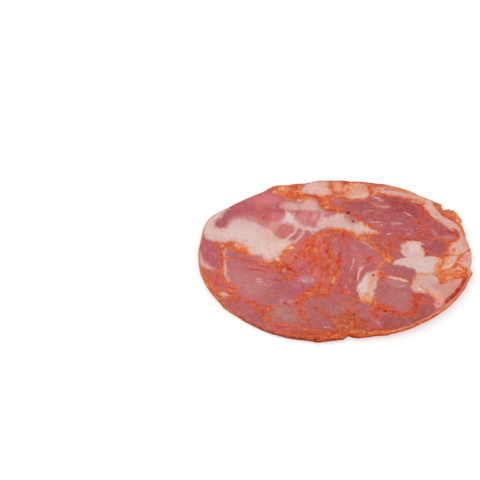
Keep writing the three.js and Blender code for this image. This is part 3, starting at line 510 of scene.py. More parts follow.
# Spice paste in seams: width in mm, how much there is, how bright it is, and its run.
SEAMS = [
    # round the cap
    (0.8, 0.9, 0.4, [(-50, 7.2), (-48, 6.8), (-45.6, 6.8), (-43.4, 7.4)]),
    (0.8, 0.7, 0.4, [(-48.8, 5.4), (-47.6, 4.6), (-45.6, 5.2), (-44.8, 6.6)]),
    (0.9, 0.85, 0.8, [(-43.4, 7.2), (-41.6, 6.6), (-39.8, 5)]),
    (1.2, 0.95, 0.6, [(-40.2, 4), (-38.6, 3.8), (-37, 2), (-35.8, 0.2)]),
    (1, 0.9, 0.95, [(-40.4, 5), (-38.4, 5)]),
    (0.5, 0.85, 0.45, [(-42.6, 5), (-40.6, 3.2), (-38.8, 1.6)]),
    (0.6, 0.8, 0.55, [(-30.2, -3.8), (-28, -5), (-26, -4.2)]),
    (1.1, 0.95, 0.62, [
        (-27, -5), (-25.4, -4.6), (-23.4, -3), (-22.4, -0.6), (-21, 1.8), (-19.8, 3.4), (-18.6, 5.6),
        (-16.6, 6.6)]),
    (0.7, 0.8, 0.95, [(-24.4, -1.2), (-23.8, -2.6)]),
    (0.9, 0.8, 0.95, [(-18.4, 4.6), (-17.4, 5)]),
    # down the left
    (0.6, 1, 0.5, [
        (-46.8, 5), (-46.8, 2), (-47.1, -1), (-46.9, -4), (-47.1, -8), (-46.7, -12), (-45.8, -14.6)]),
    (0.7, 0.9, 0.85, [(-46.8, -1.8), (-44.4, -1.9)]),
    (1.3, 0.9, 0.55, [(-45.4, -15.2), (-44.2, -17.2), (-43.4, -18.6)]),
    (0.7, 0.85, 0.5, [(-43.4, -18.4), (-41.4, -18.4)]),
    (0.7, 0.95, 0.42, [(-43.8, -18.6), (-43.4, -21.4), (-42.4, -23.6), (-40.2, -23.8)]),
    (0.5, 0.6, 0.5, [(-40.2, -23.8), (-38, -24.4), (-37.4, -25.2)]),
    (0.9, 1, 0.4, [
        (-37.6, -25.4), (-35.4, -25.6), (-33.6, -26.8), (-32.8, -28.8), (-31, -30.1), (-29, -30),
        (-27.4, -30)]),
    (0.6, 0.9, 0.4, [(-29.6, -28.6), (-28, -28.4), (-26.8, -29.6)]),
    (0.5, 0.9, 0.45, [(-29.6, -33.6), (-29, -35.2), (-27.6, -35), (-27.4, -33.6), (-28.6, -33)]),
    (0.5, 0.8, 0.5, [(-42.2, -25.8), (-42.2, -27.2)]),
    (0.45, 0.9, 0.6, [(-55, -7), (-53.6, -11), (-52, -16), (-50.4, -20)]),
    (0.35, 0.8, 0.5, [(-48.9, -8.4), (-48.8, -12), (-49.6, -16), (-50, -20)]),
    (0.5, 0.9, 0.35, [(-52.8, -8.8), (-50.4, -8.2)]),
    (0.5, 0.7, 0.6, [(-50, -19), (-48.8, -21), (-48.4, -23.4)]),
    # over the broad muscle
    (0.4, 0.9, 0.3, [(-43.6, -0.8), (-40, -1.5), (-36.4, -2.4)]),
    (0.6, 0.95, 0.3, [(-37, -2.3), (-34.4, -3), (-32.4, -3.8)]),
    (0.35, 0.7, 0.3, [(-36.4, -4), (-32.4, -5.4), (-29.4, -6.6), (-27, -8)]),
    (0.5, 0.7, 0.32, [(-36.4, -7.4), (-32.4, -8.6), (-28.4, -9.2)]),
    (0.4, 0.6, 0.35, [(-30, -10), (-26.8, -10.4)]),
    (0.5, 0.9, 0.3, [(-25.2, -14.4), (-22.4, -14), (-20, -12.8)]),
    (0.5, 0.9, 0.5, [(-21, -12.6), (-19, -12.8), (-16.8, -13.8)]),
    (1.7, 0.7, 0.55, [(-6.4, -16.6), (-9, -19.2), (-12, -22), (-14.6, -24.4)]),
    (0.8, 0.8, 0.4, [(-9.6, -18), (-13, -21.6), (-16, -24)]),
    (0.8, 0.7, 0.42, [(-16.4, -24.6), (-16.2, -28), (-15.6, -31), (-15.6, -33.6)]),
    (0.75, 0.75, 0.4, [(-14.4, -30.6), (-13.4, -33.4), (-12.4, -36.4), (-10.9, -39.4), (-9.4, -41)]),
    (0.5, 0.9, 0.2, [(-22, -25.8), (-21.2, -27), (-20, -27.6)]),
    # the mottled middle
    (0.9, 0.9, 0.4, [(-16.8, -1), (-14.4, 1), (-12.4, 2.6), (-11.6, 5.4), (-9.8, 8.4)]),
    (0.8, 0.9, 0.65, [(-10, 8.4), (-8.4, 11), (-6, 12.2), (-3.4, 13.2), (-0.6, 13.6)]),
    (0.5, 0.9, 0.22, [(-9.6, 6.2), (-7.4, 6), (-5.6, 6.8), (-4.2, 8.6), (-3.6, 10)]),
    (0.9, 0.9, 0.3, [(-4, 3.6), (-3.2, 2.4)]),
    (0.8, 0.85, 0.38, [(-3.4, 2.6), (-1.4, -0.2), (0.2, -2.4), (1, -4.4)]),
    (0.5, 0.85, 0.7, [(-9.8, 4.4), (-9.6, 1.4)]),
    (0.45, 0.9, 0.75, [(-6.2, 0), (-6.3, -3.6), (-5.9, -7)]),
    (0.4, 0.8, 0.5, [(-10.6, -1), (-10.7, -5), (-10.2, -8.4)]),
    (0.7, 0.85, 0.35, [(-10.6, -9), (-9.6, -10.2)]),
    (0.35, 0.8, 0.3, [(-3.2, -3.4), (-3.5, -7)]),
    (0.4, 0.8, 0.35, [(-8, 0.6), (-7.8, -4), (-7.2, -8), (-7.4, -12)]),
    (0.4, 0.8, 0.35, [(-4.6, -9.6), (-4.4, -12), (-4.8, -15.4)]),
    (0.5, 0.8, 0.4, [(-21.6, -4.4), (-19.4, -4.8), (-17.2, -4)]),
    (0.6, 0.85, 0.35, [(-17.6, -9), (-16.8, -11), (-15, -10.8)]),
    (0.7, 0.8, 0.3, [(-15.8, -8), (-14.4, -8.2)]),
    (0.75, 0.9, 0.3, [(2.3, 1.8), (2.3, -1.4), (1.6, -4.6), (1, -7.2)]),
    (0.9, 1, 0.6, [(0.4, -4.4), (-0.1, -8), (0, -11.8)]),
    (0.5, 0.9, 0.9, [(-0.7, -12.4), (-1.5, -15.4)]),
    (0.8, 0.9, 0.45, [(-1.8, -15.8), (-2.8, -18.4), (-3.6, -22)]),
    (0.45, 0.7, 0.35, [(2.4, 2), (2.5, 6), (2, 10.6)]),
    (0.7, 0.9, 0.3, [(4.2, 13), (4.4, 10.8)]),
    (0.35, 0.6, 0.35, [(4.5, 10.4), (5, 6)]),
    (0.35, 0.7, 0.45, [(-1.2, 9), (-1.8, 3)]),
    # up and over the top
    (1.2, 0.85, 0.34, [(-18.6, 36), (-16, 36), (-12, 35.7), (-8, 36.6), (-5.4, 35)]),
    (0.9, 0.9, 0.3, [(-15.6, 43.6), (-14.6, 40.6), (-15, 37.6)]),
    (0.7, 0.85, 0.75, [(-13.6, 42), (-13.8, 38.4), (-11, 36.8)]),
    (1.1, 0.9, 0.42, [(-5.6, 35), (-4.4, 32), (-3, 29.8), (0, 28.4), (3, 28)]),
    (0.9, 0.85, 0.6, [(-0.6, 43.4), (1.2, 41), (2, 39), (1.4, 37.6), (3.6, 36.4)]),
    (0.8, 0.8, 0.6, [(-2.4, 36.2), (0.8, 36.8), (5, 36.4), (6, 34.6)]),
    (0.7, 0.8, 0.7, [(5.2, 42), (5.6, 39), (5.4, 36)]),
    (0.8, 0.8, 0.7, [(-3.6, 36.2), (-2.4, 34), (-1.8, 32)]),
    (0.6, 0.6, 0.5, [(6.4, 34.4), (9, 33.8), (13, 34.2), (15.4, 35), (17.2, 36.6)]),
    (0.8, 0.95, 0.35, [(16.6, 43.8), (17.4, 41), (17.3, 37.6), (16.6, 35.8)]),
    (0.7, 0.9, 0.15, [(6.5, 44.8), (11, 45.4), (16.4, 44.6)]),
    (0.6, 0.8, 0.4, [(-24, 41), (-22, 38.4), (-20.6, 36.8)]),
    (0.9, 0.85, 0.45, [(-18, 43), (-17, 40.4), (-18.4, 38), (-21.6, 38.4)]),
    (0.5, 0.7, 0.3, [(4.6, 31), (7.4, 32.2), (11, 32.8)]),
    # round the saddle
    (0.7, 0.9, 0.75, [(-2.6, 16.6), (0, 16.2), (2.5, 15.4), (6, 14.6), (8.2, 12.9)]),
    (0.9, 0.85, 0.35, [(-0.4, 14.8), (3, 14.6), (6.6, 13.8)]),
    (1.1, 0.95, 0.6, [(8.6, 13), (9.6, 11.2), (10.8, 10.4)]),
    (0.8, 0.7, 0.7, [(12, 11.6), (14.2, 11.6), (13.4, 12.6)]),
    (0.7, 0.9, 0.75, [(14, 13.2), (17, 13.4), (19.8, 14)]),
    (0.7, 0.9, 0.35, [(2.8, 27.4), (5, 26.6), (7.6, 25), (10, 23.6), (11.6, 21.4), (13.2, 19.8)]),
    (0.9, 0.9, 0.7, [(13.4, 18.6), (15, 17.8), (16.2, 17.8)]),
    (0.5, 0.9, 0.4, [(15, 19), (16.6, 17.4), (17.8, 15.6)]),
    # right of the fan
    (0.7, 0.65, 0.75, [(10.8, 10.6), (13, 9.8), (15, 8.4), (16.6, 7.4), (17.6, 5.8)]),
    (0.6, 0.9, 0.6, [(17.6, 5.4), (18.2, 3), (19.8, 0.6), (21.4, -1.2)]),
    (1, 0.85, 0.85, [(21.4, -1.6), (22.4, -2)]),
    (0.6, 0.8, 0.5, [(20.4, 0.2), (22.6, -0.8), (24, -2.6)]),
    (0.6, 0.85, 0.7, [(21, -2.4), (19.4, -4), (18.4, -6.4), (18, -8.4)]),
    (1.6, 0.95, 0.42, [(18.2, -9.8), (18.6, -11.8)]),
    (0.5, 0.7, 0.5, [(25, 12), (27.4, 11.4), (29, 10.6)]),
    (0.8, 0.85, 0.25, [(28.4, 10.4), (31, 9.6), (34, 9.4), (36.4, 9.2)]),
    (1.0, 0.85, 0.38, [(23.4, 6.6), (23, 4.4)]),
    (0.8, 0.75, 0.4, [(22.3, 3), (22, 1)]),
    (0.75, 0.85, 0.42, [(14.9, -0.6), (14.2, -2.8), (13.5, -4.8)]),
    (0.6, 0.65, 0.5, [(17.4, -0.2), (16.4, -3)]),
    (0.35, 0.8, 0.25, [(8, -10.7), (7.9, -14.5)]),
    (0.35, 0.8, 0.25, [(4.6, -11), (4.4, -14.6)]),
    (0.4, 0.8, 0.35, [(1.4, -15), (1.5, -18.5)]),
    (1.0, 0.95, 0.3, [(1.9, -19.6), (1.9, -21.4)]),
    (0.8, 0.85, 0.45, [(3.6, -20.4), (4.4, -20.8)]),
    (0.4, 0.75, 0.4, [(5, -21.6), (7.4, -24.2)]),
    # round the outer muscle
    (0.55, 0.9, 0.55, [(19.5, 37.9), (24, 37), (29, 35.7), (33, 34.3), (36.4, 32.4)]),
    (0.5, 0.9, 0.7, [(36.2, 34), (38.2, 32.9), (39.9, 31.5)]),
    (0.9, 0.8, 0.35, [(37.6, 31), (39, 29.4), (39.4, 26), (40.6, 25)]),
    (0.8, 0.55, 0.35, [(38.4, 27), (38.8, 23.6), (38.2, 21), (36.4, 19.8), (34.6, 20.8)]),
    (0.7, 0.6, 0.32, [(36.6, 19.6), (37.8, 17.4), (36.6, 14.6), (36.4, 12.4), (38.2, 10)]),
    (0.7, 0.45, 0.3, [(40, 19), (38.8, 15.4), (38.6, 12.4)]),
    (0.5, 0.85, 0.45, [(40.6, 27), (42.2, 23.4), (45.6, 19)]),
    (0.6, 1, 0.12, [(48.8, 15), (49.8, 13.6), (51, 12.8)]),
    (0.8, 1, 0.25, [(51.8, 14.4), (52.7, 12.6), (52.4, 10.4), (51.4, 8.8)]),
    (0.8, 0.9, 0.55, [(51.6, 8.2), (49.6, 7.8), (47.8, 8.2)]),
    (0.45, 0.7, 0.4, [(38.6, 9.6), (42, 9.8), (45.6, 9.6)]),
    (0.7, 0.9, 0.55, [(47.6, 7.4), (48, 4), (47, 1.6), (45.6, 0.4)]),
    (0.55, 1, 0.12, [(36.6, 6.2), (37.8, 4.8), (38.6, 3.6)]),
    (0.6, 0.9, 0.3, [(39.2, 2.4), (38, 0.8), (37, 0.2)]),
    # the bulged end
    (0.6, 0.9, 0.4, [(44.4, 31.8), (44.6, 29.6), (45.6, 27), (47.4, 24.6), (50, 22), (52.6, 19.2)]),
    (0.7, 0.95, 0.36, [(46.8, 24.8), (48.8, 22.6), (50.6, 21), (52.8, 19)]),
    (0.7, 0.9, 0.5, [(52.8, 19), (54, 16.6), (55.4, 13.2)]),
    (0.7, 1, 0.75, [(52.4, 26.4), (53.6, 23.9), (54.4, 20.8)]),
    (0.5, 0.9, 0.15, [(47.4, 25), (49, 24.2)]),
    (0.5, 0.8, 0.6, [(46.8, 30.6), (46.6, 28)]),
    (0.45, 0.8, 0.2, [(50.2, 27.2), (51.4, 26.6)]),
    (0.5, 0.9, 0.75, [(55.6, 13), (55.9, 9), (55.6, 6)]),
    # between the lobes of the end
    (0.6, 0.9, 0.42, [(41.6, 0), (44.6, -0.9), (47, -0.2), (50, 0), (52, -1)]),
    (0.6, 0.9, 0.3, [(51.6, -0.6), (54, 0.6), (55.6, 2.2)]),
    (0.7, 0.95, 0.28, [(51.8, -1), (50.6, -3.8), (49.6, -5.8), (48, -7.8), (45.6, -8.6), (43.4, -9)]),
    (0.5, 0.9, 0.3, [(51.6, -3), (53.4, -4.4)]),
    (0.65, 0.95, 0.3, [(44.6, -2), (44.4, -4.4), (43.2, -6.6), (43, -9)]),
    (0.6, 0.95, 0.25, [(49.6, -8.8), (52, -9.2), (54.6, -8.8)]),
    (0.6, 0.95, 0.3, [(51, -5), (51.9, -6.6), (53.4, -8.2)]),
    (0.5, 0.9, 0.3, [(48.8, -8), (49.4, -6.8), (50.6, -5.8)]),
    (0.5, 0.8, 0.35, [(40.6, -10), (41.2, -11.8), (42, -13)]),
    (1.1, 0.8, 0.42, [(45.4, -11.4), (49, -11.2), (52.2, -11)]),
    (0.8, 0.95, 0.22, [(47.6, -13), (50, -13.2), (52.4, -12.2), (54.2, -9.6)]),
    (1.0, 0.95, 0.35, [(43.8, -12.2), (43.6, -13.6), (42.8, -15)]),
    (0.5, 0.8, 0.35, [(41.8, -16.2), (44.6, -15.4)]),
    (0.6, 0.7, 0.8, [(33.2, -11.2), (35.6, -10.3), (39, -10.4)]),
    (0.5, 0.9, 0.25, [(56.2, 3.4), (56, 1.6)]),
    # round the lower right fat
    (1.15, 1, 0.14, [
        (53.7, -11.8), (52.5, -15), (51, -17.8), (49.4, -20.2), (47.7, -22.4), (45.9, -24.7), (43.8, -27)]),
    (0.4, 0.85, 0.7, [(33.8, -16.8), (36, -19.4), (38, -22)]),
    (0.9, 0.9, 0.85, [(38.8, -22.4), (40.2, -23.4), (41, -24.4)]),
    (0.7, 0.8, 0.6, [(40, -26), (40.4, -28.6)]),
    (1, 0.9, 0.5, [(29.8, -14.4), (30.4, -15.8)]),
    (0.4, 0.9, 0.45, [(19.8, -12.2), (23.5, -11.9), (26.6, -12.4), (29.6, -14.4)]),
    (0.4, 0.8, 0.6, [(32.4, -12.2), (32.6, -13.6)]),
    (1.1, 0.9, 0.3, [(30.8, -21.8), (33, -22.2), (34.6, -22.8)]),
    # the foot of the barrel
    (0.7, 0.85, 0.55, [(14.4, -23.4), (15, -26), (15.8, -27.2)]),
    (1.4, 0.8, 0.46, [(15.6, -28), (18.6, -28.8), (20.8, -30)]),
    (0.45, 0.9, 0.15, [(20.8, -29.6), (21.6, -31.2), (23.2, -32.6)]),
    (1.2, 0.74, 0.38, [(21, -30.6), (22.8, -32.6), (25, -33.2), (28.6, -33.6)]),
    (1.5, 0.72, 0.24, [(28.6, -33), (30.4, -30.6), (31, -27.6), (31.4, -25)]),
    (1.2, 0.75, 0.4, [(14.4, -29), (14.6, -32), (15, -34.4)]),
    (0.6, 0.8, 0.75, [(32.2, -26.6), (32.8, -27.6)]),
    (0.5, 0.7, 0.4, [(33.4, -27.4), (36, -26.4), (38, -25)]),
    (0.5, 0.9, 0.8, [(15.2, -13.4), (14, -16.6), (13.1, -20), (12, -23), (11, -24.6)]),
    (0.7, 0.75, 0.7, [(8.6, -24.8), (11, -25.8), (13.6, -25.4)]),
    (0.7, 0.8, 0.42, [
        (-10.4, -27.4), (-8, -30.4), (-4.8, -33.2), (-3, -35.2), (-1.9, -37.6), (-1.9, -39.4)]),
    (0.6, 0.6, 0.4, [(3, -31), (6, -28.4), (8.4, -25.4)]),
    (0.5, 0.6, 0.4, [(8, -30.6), (10.6, -30.4), (12.8, -30.6)]),
    (0.7, 0.8, 0.25, [(6, -31.6), (6, -33.6)]),
    (0.45, 0.7, 0.45, [(-26.4, -38.4), (-23, -39.4), (-19.6, -38.8), (-17.8, -36.6)]),
    (0.45, 0.6, 0.45, [(-27.8, -36.6), (-25.4, -37.6), (-22, -37.8)]),
    (0.4, 0.6, 0.35, [(-27, -40.6), (-22, -42), (-17, -42.6)]),
    (0.6, 0.85, 0.15, [(12.4, -41), (17, -41.3), (21.4, -40.9)]),
    (0.8, 0.8, 0.35, [(-30.6, -31), (-30.4, -33.4)]),
    (0.5, 0.5, 0.7, [(25.5, 42.2), (30, 40.8), (34.6, 38.8)]),
]

# Stretches mottled with paste: softness in mm, how much there is, how bright it is, and the outline.
STAINS = [
    # the middle
    (2.2, 0.76, 0.4, [
        (-14, 4), (-9, 12), (-3, 13), (-1, 9), (0, 1), (-1, -8), (-3, -15), (-8, -15), (-9.6, -10),
        (-12, -2)]),
    (1.4, 0.74, 0.32, [(-15.4, 1.6), (-12.6, 3.8), (-9.4, 3), (-8.8, -1.8), (-10.8, -3), (-12.8, -0.8)]),
    (1.5, 0.5, 0.42, [(-17.4, 0), (-13, 5), (-10, 10), (-7, 11), (-9, 5), (-12, 0), (-16, -3)]),
    (1.6, 0.75, 0.35, [(-23.6, -4), (-18, -2), (-16.6, -6), (-16.4, -12), (-20, -14), (-24, -11)]),
    (1.2, 0.65, 0.45, [(-29, -6), (-26, -4.4), (-22, -4), (-23, -10), (-27, -9)]),
    (2.0, 0.76, 0.46, [(-5, -15), (-3, -20), (-4, -24), (-12, -25), (-17, -28), (-17.6, -25), (-10, -19)]),
    (1.5, 0.5, 0.4, [(-3, 12), (2, 14.6), (8, 12), (6, 8), (2, 9)]),
    # the top
    (1, 0.85, 0.72, [
        (-26, 40), (-24, 43.4), (-14, 45), (-13, 41), (-13.6, 37), (-9, 36.4), (-6, 35), (-12, 33.6),
        (-18, 34), (-23, 36.4)]),
    (1, 0.72, 0.7, [
        (-1, 44), (4, 45), (7, 44.6), (6, 38), (6.6, 34.4), (3, 36.2), (0.4, 37.6), (0.8, 39.6),
        (-0.6, 41.6)]),
    (1.0, 0.86, 0.4, [
        (-5.6, 35.6), (-1.6, 36.4), (-0.4, 33.4), (0.4, 30.8), (3.4, 29.6), (4, 26.6), (1, 26.2),
        (-3.4, 28.4), (-5, 32)]),
    (1.0, 0.62, 0.6, [
        (6, 38), (6.4, 44.4), (14, 45.4), (17, 42), (16.4, 40), (12, 39), (9, 37), (8, 35), (6, 35.6)]),
    (1, 0.6, 0.7, [(17, 44.4), (22, 43.2), (23, 38.6), (19, 38), (17, 36)]),
    (0.8, 0.55, 0.72, [(24, 42.6), (34, 39.6), (40, 36), (37, 36), (30, 39), (24, 40.8)]),
    (0.7, 0.34, 0.85, [
        (22, 38.4), (30, 36.6), (36, 34), (40, 32.2), (40.4, 34), (36, 36.8), (30, 38.8), (22, 40.2)]),
    (0.8, 0.6, 0.6, [(2.6, 28.8), (6, 27), (8, 25.4), (6.4, 25), (3, 25.6)]),
    # the right
    (1.2, 0.3, 0.64, [(10, 11.6), (14, 13.2), (17, 9), (17.6, 6), (15, 8)]),
    (2, 0.28, 0.35, [(16, 11), (24, 12), (28, 9), (26, 2), (22, 0), (19, 4)]),
    (1.2, 0.6, 0.3, [(28, 11.2), (37, 10.6), (37, 8.8), (33, 8.8), (29, 9)]),
    (1.2, 0.45, 0.35, [(36, 19), (38.4, 19), (38.4, 12), (36.4, 11.4)]),
    (1.5, 0.5, 0.35, [(38, 30), (40.6, 28), (42, 23.4), (39, 21.6)]),
    (0.8, 0.5, 0.5, [
        (43.4, 33.4), (47, 31.2), (47, 28), (50, 27.6), (52.6, 27), (52, 23.4), (48, 23.4), (45, 28)]),
    (0.6, 0.8, 0.75, [(54, 20), (55.4, 18.4), (56.4, 12), (55.6, 7), (54.8, 12), (53.4, 17)]),
    (1.0, 0.8, 0.5, [(43.6, -8.8), (48, -8.8), (54.6, -8.8), (54, -12), (49, -12.6), (44, -13), (42, -11)]),
    (1.1, 0.9, 0.55, [(41.6, -4), (43.6, -3.6), (43.4, -8), (42.8, -10.4), (40.8, -9.8), (41, -6.4)]),
    (0.7, 0.6, 0.5, [(48.4, 2.4), (49.6, 5), (50.6, 3), (49.6, 0.6)]),
    (1.0, 0.3, 0.6, [(44, -8), (45, -1.6), (50, 0), (57, 0), (56.4, -8), (50, -9.6)]),
    (1.0, 0.25, 0.6, [(48, 2), (49.4, 6), (55, 10), (57, 5), (56.6, 1), (52, 0)]),
    (1.3, 0.75, 0.28, [(30.4, -22), (33.4, -22), (34, -26), (32.4, -30), (30, -32), (29.6, -28)]),
    (1.8, 0.6, 0.3, [(33, -30), (31, -34.6), (25, -35), (22, -33.6), (28, -31.6)]),
    # the foot
    (1.6, 0.62, 0.42, [
        (-1.8, -33.4), (3, -31.8), (7, -32.4), (7.6, -34.6), (13, -35), (10.4, -37), (10.4, -40.6),
        (0, -41.6), (-1.8, -38)]),
    (0.9, 0.9, 0.45, [
        (-13, -42.5), (-7, -41.4), (0, -41.6), (4, -41.4), (12, -41.6), (24, -41.8), (16, -44.4), (6, -45.8),
        (0, -45.8), (-6, -47), (-12, -46)]),
    (0.8, 0.85, 0.2, [(-2.6, -41.8), (2, -41.6), (2.4, -43.2), (-1.6, -43.4)]),
    (1.4, 0.55, 0.4, [(-30, -38), (-24, -38), (-16, -36.6), (-11, -42), (-14, -45.6), (-24, -43)]),
    (1, 0.8, 0.34, [
        (13.4, -27), (17, -27.4), (21, -29), (22.6, -32.6), (19, -31.6), (16, -31.6), (16, -34.6),
        (13.6, -34)]),
    (1.0, 0.75, 0.36, [(3.6, -29.6), (8.8, -28.6), (9.8, -30.8), (6, -31.8), (3.6, -31.4)]),
    (1.5, 0.5, 0.42, [(-8, -24), (8, -23), (9, -26), (6, -27), (2, -31), (0, -28), (-6, -26)]),
    (1.4, 0.42, 0.4, [
        (-17.6, -25), (-13.6, -24.6), (-13, -29), (-12.6, -34), (-12.4, -40), (-16, -38), (-17, -30)]),
    # the left
    (1.4, 0.45, 0.45, [(-55.6, -7), (-51, -9), (-48, -13), (-47.4, -20), (-50, -22), (-54, -14)]),
    (0.8, 0.8, 0.65, [(-50.4, -18), (-48.8, -18.4), (-45.6, -26), (-47.4, -26.4), (-50, -22)]),
    (0.8, 0.45, 0.5, [(-49.4, 7.6), (-45, 7.4), (-45.6, 4.6), (-48.8, 4.4)]),
    (1.5, 0.35, 0.4, [(-33, -30), (-29, -31), (-27, -36), (-30, -38), (-32, -35)]),
]

# The rind's line round the cut: bearing in degrees, width in mm, how bright it is and how plainly it shows.
RIM_LINE = [
    (-180, 0.4, 0.7, 0.5), (-174, 0.45, 0.75, 0.65), (-168, 0.6, 0.75, 0.85), (-162, 0.6, 0.7, 0.85),
    (-150, 0.5, 0.65, 0.85), (-138, 0.35, 0.5, 0.85), (-120, 0.3, 0.32, 0.9), (-105, 0.3, 0.25, 0.9),
    (-90, 0.35, 0.35, 0.9), (-76, 0.5, 0.65, 0.85), (-60, 0.6, 0.85, 0.85), (-45, 0.55, 0.9, 0.85),
    (-30, 0.45, 0.85, 0.85), (-20, 0.45, 0.8, 0.85), (-12, 0.5, 0.75, 0.8), (-8, 0.4, 0.85, 0.4),
    (0, 0.3, 0.85, 0.3), (9, 0.3, 0.8, 0.35), (13, 0.5, 0.95, 0.8), (20, 0.6, 0.95, 0.85),
    (30, 0.6, 0.85, 0.85), (40, 0.4, 0.6, 0.8), (55, 0.5, 0.5, 0.8), (75, 0.5, 0.45, 0.85),
    (95, 0.5, 0.45, 0.85), (115, 0.5, 0.5, 0.85), (135, 0.4, 0.65, 0.85), (150, 0.4, 0.8, 0.8),
    (165, 0.4, 0.8, 0.75), (174, 0.4, 0.75, 0.6), (180, 0.4, 0.7, 0.5)]

# Connective tissue, thin and pale: width in mm, how plainly it shows, and its run.
TISSUE = [
    # the star's arms
    (1.5, 0.8, [(-16.8, 20.6), (-15.8, 17.8), (-15.4, 15.2)]),
    (1.0, 0.85, [(-16.2, 20), (-15.9, 16.6), (-16.9, 13.8), (-18.8, 11.4), (-21, 9), (-24, 7.4)]),
    (0.9, 0.75, [(-11.8, 18), (-12.9, 14.4), (-14.5, 11), (-16.3, 7.8), (-18, 4)]),
    (0.75, 0.75, [(-9.6, 17.4), (-9.2, 14), (-7.8, 11.4)]),
    (0.6, 0.35, [(-19, 21.8), (-22.6, 20.2), (-26.4, 17.6)]),
    (0.6, 0.7, [(-18.6, 25.4), (-19.8, 27.6), (-20.8, 29.6)]),
    (0.5, 0.8, [(-17.2, 25), (-15.2, 26.4)]),
    (0.4, 0.5, [(-8.6, 21.6), (-7.6, 25.6)]),
    (0.45, 0.6, [(-6, 22.6), (-4.4, 24.6), (-3.4, 27)]),
    (0.4, 0.5, [(-2.6, 24.4), (-0.6, 26.8)]),
    (0.25, 0.6, [(-32.2, 26.2), (-33.2, 22.6)]),
    (0.3, 0.4, [(-28, 30), (-25.4, 26.6), (-23.6, 24)]),
    # over the muscles on the right
    (0.3, 0.5, [(28.6, 27.4), (31.4, 25.4), (33, 24), (34.6, 21.8), (36.6, 20.6), (38.6, 21.6)]),
    (0.5, 0.85, [(29.4, 26.8), (31.8, 25.2), (34.4, 23)]),
    (0.4, 0.75, [(13.8, 20.4), (17.4, 20), (22.4, 19.4)]),
    (0.4, 0.55, [(15.6, 18.4), (19, 17.9), (23.4, 17)]),
    (0.35, 0.75, [(18, 30.3), (21.6, 29.8), (26.4, 29.5)]),
    (0.45, 0.8, [(18.2, 37.2), (19.6, 35.6), (21.8, 33.6)]),
    (0.5, 0.55, [(23.6, 19.3), (27, 19.5), (32, 19.1)]),
    (0.3, 0.5, [(21.6, 21.9), (25.8, 21.7)]),
    (0.45, 1.1, [(21.6, 12.5), (23, 13.2), (24.6, 14.2)]),
    (0.32, 0.85, [(8.2, 0.4), (7.4, -3.8), (5.6, -9.4)]),
    (0.32, 0.85, [(12, -4), (10.6, -7), (9.4, -9.6), (9.1, -12), (8.6, -16)]),
    (0.3, 0.7, [(4.1, -15.6), (3.9, -19)]),
    (0.3, 0.5, [(6, -13), (5.8, -17)]),
    (0.4, 0.6, [(9.6, 10.4), (12, 8), (14.6, 5.8), (17, 3.6), (19, 1)]),
    (0.4, 0.7, [(28.6, -15), (27.3, -17.6), (25.4, -18.1), (22.6, -18)]),
    (0.4, 0.65, [(14, -35.2), (15, -37.4), (16, -40.4)]),
    # on the left
    (0.45, 0.9, [(-45.9, 3.6), (-46.1, -0.4)]),
    (0.45, 0.85, [(-46, -2.4), (-45.8, -6), (-46, -9.6), (-45.4, -13), (-43.4, -16.6)]),
    (0.5, 0.75, [(-13.9, -11.4), (-13.6, -13.4), (-12.8, -15.4)]),
    (0.6, 0.7, [(-14.2, -14.2), (-12.4, -14.6), (-10.8, -14.2)]),
    (0.45, 0.6, [(-12, -11.8), (-11.8, -14.8)]),
    (0.5, 0.6, [(-9.5, -12), (-9.4, -15)]),
    (0.4, 0.6, [(-17, -13.8), (-14.2, -14.6)]),
    (0.3, 0.8, [(-33.2, -14), (-30.4, -14.1)]),
    (0.3, 0.7, [(-32.6, -15.3), (-30.4, -15.6)]),
    (0.25, 0.6, [(-32.6, -16.8), (-29.6, -17), (-26.8, -17.8)]),
    (0.25, 0.6, [(-50.8, 2.2), (-50.3, 0), (-49.3, -2.4)]),
    (0.4, 0.7, [(-22.8, -25), (-22, -25.6)]),
    (0.32, 0.7, [(-6.6, -38.4), (-5.4, -39.6), (-3.6, -39.8), (-2.8, -38.8)]),
    (0.3, 0.9, [(-4.4, -34.6), (-3.2, -35.8), (-2.5, -37.2)]),
    (0.3, 0.5, [(1.6, -28), (1.2, -31)]),
    (0.5, 0.4, [(-26.6, -30), (-22, -34), (-19, -37)]),
    (0.5, 0.45, [(-29.6, -36.6), (-28.4, -38.8), (-26.6, -40.4)]),
    (0.4, 0.7, [(-53.6, -5.4), (-51.4, -7.4)]),
]

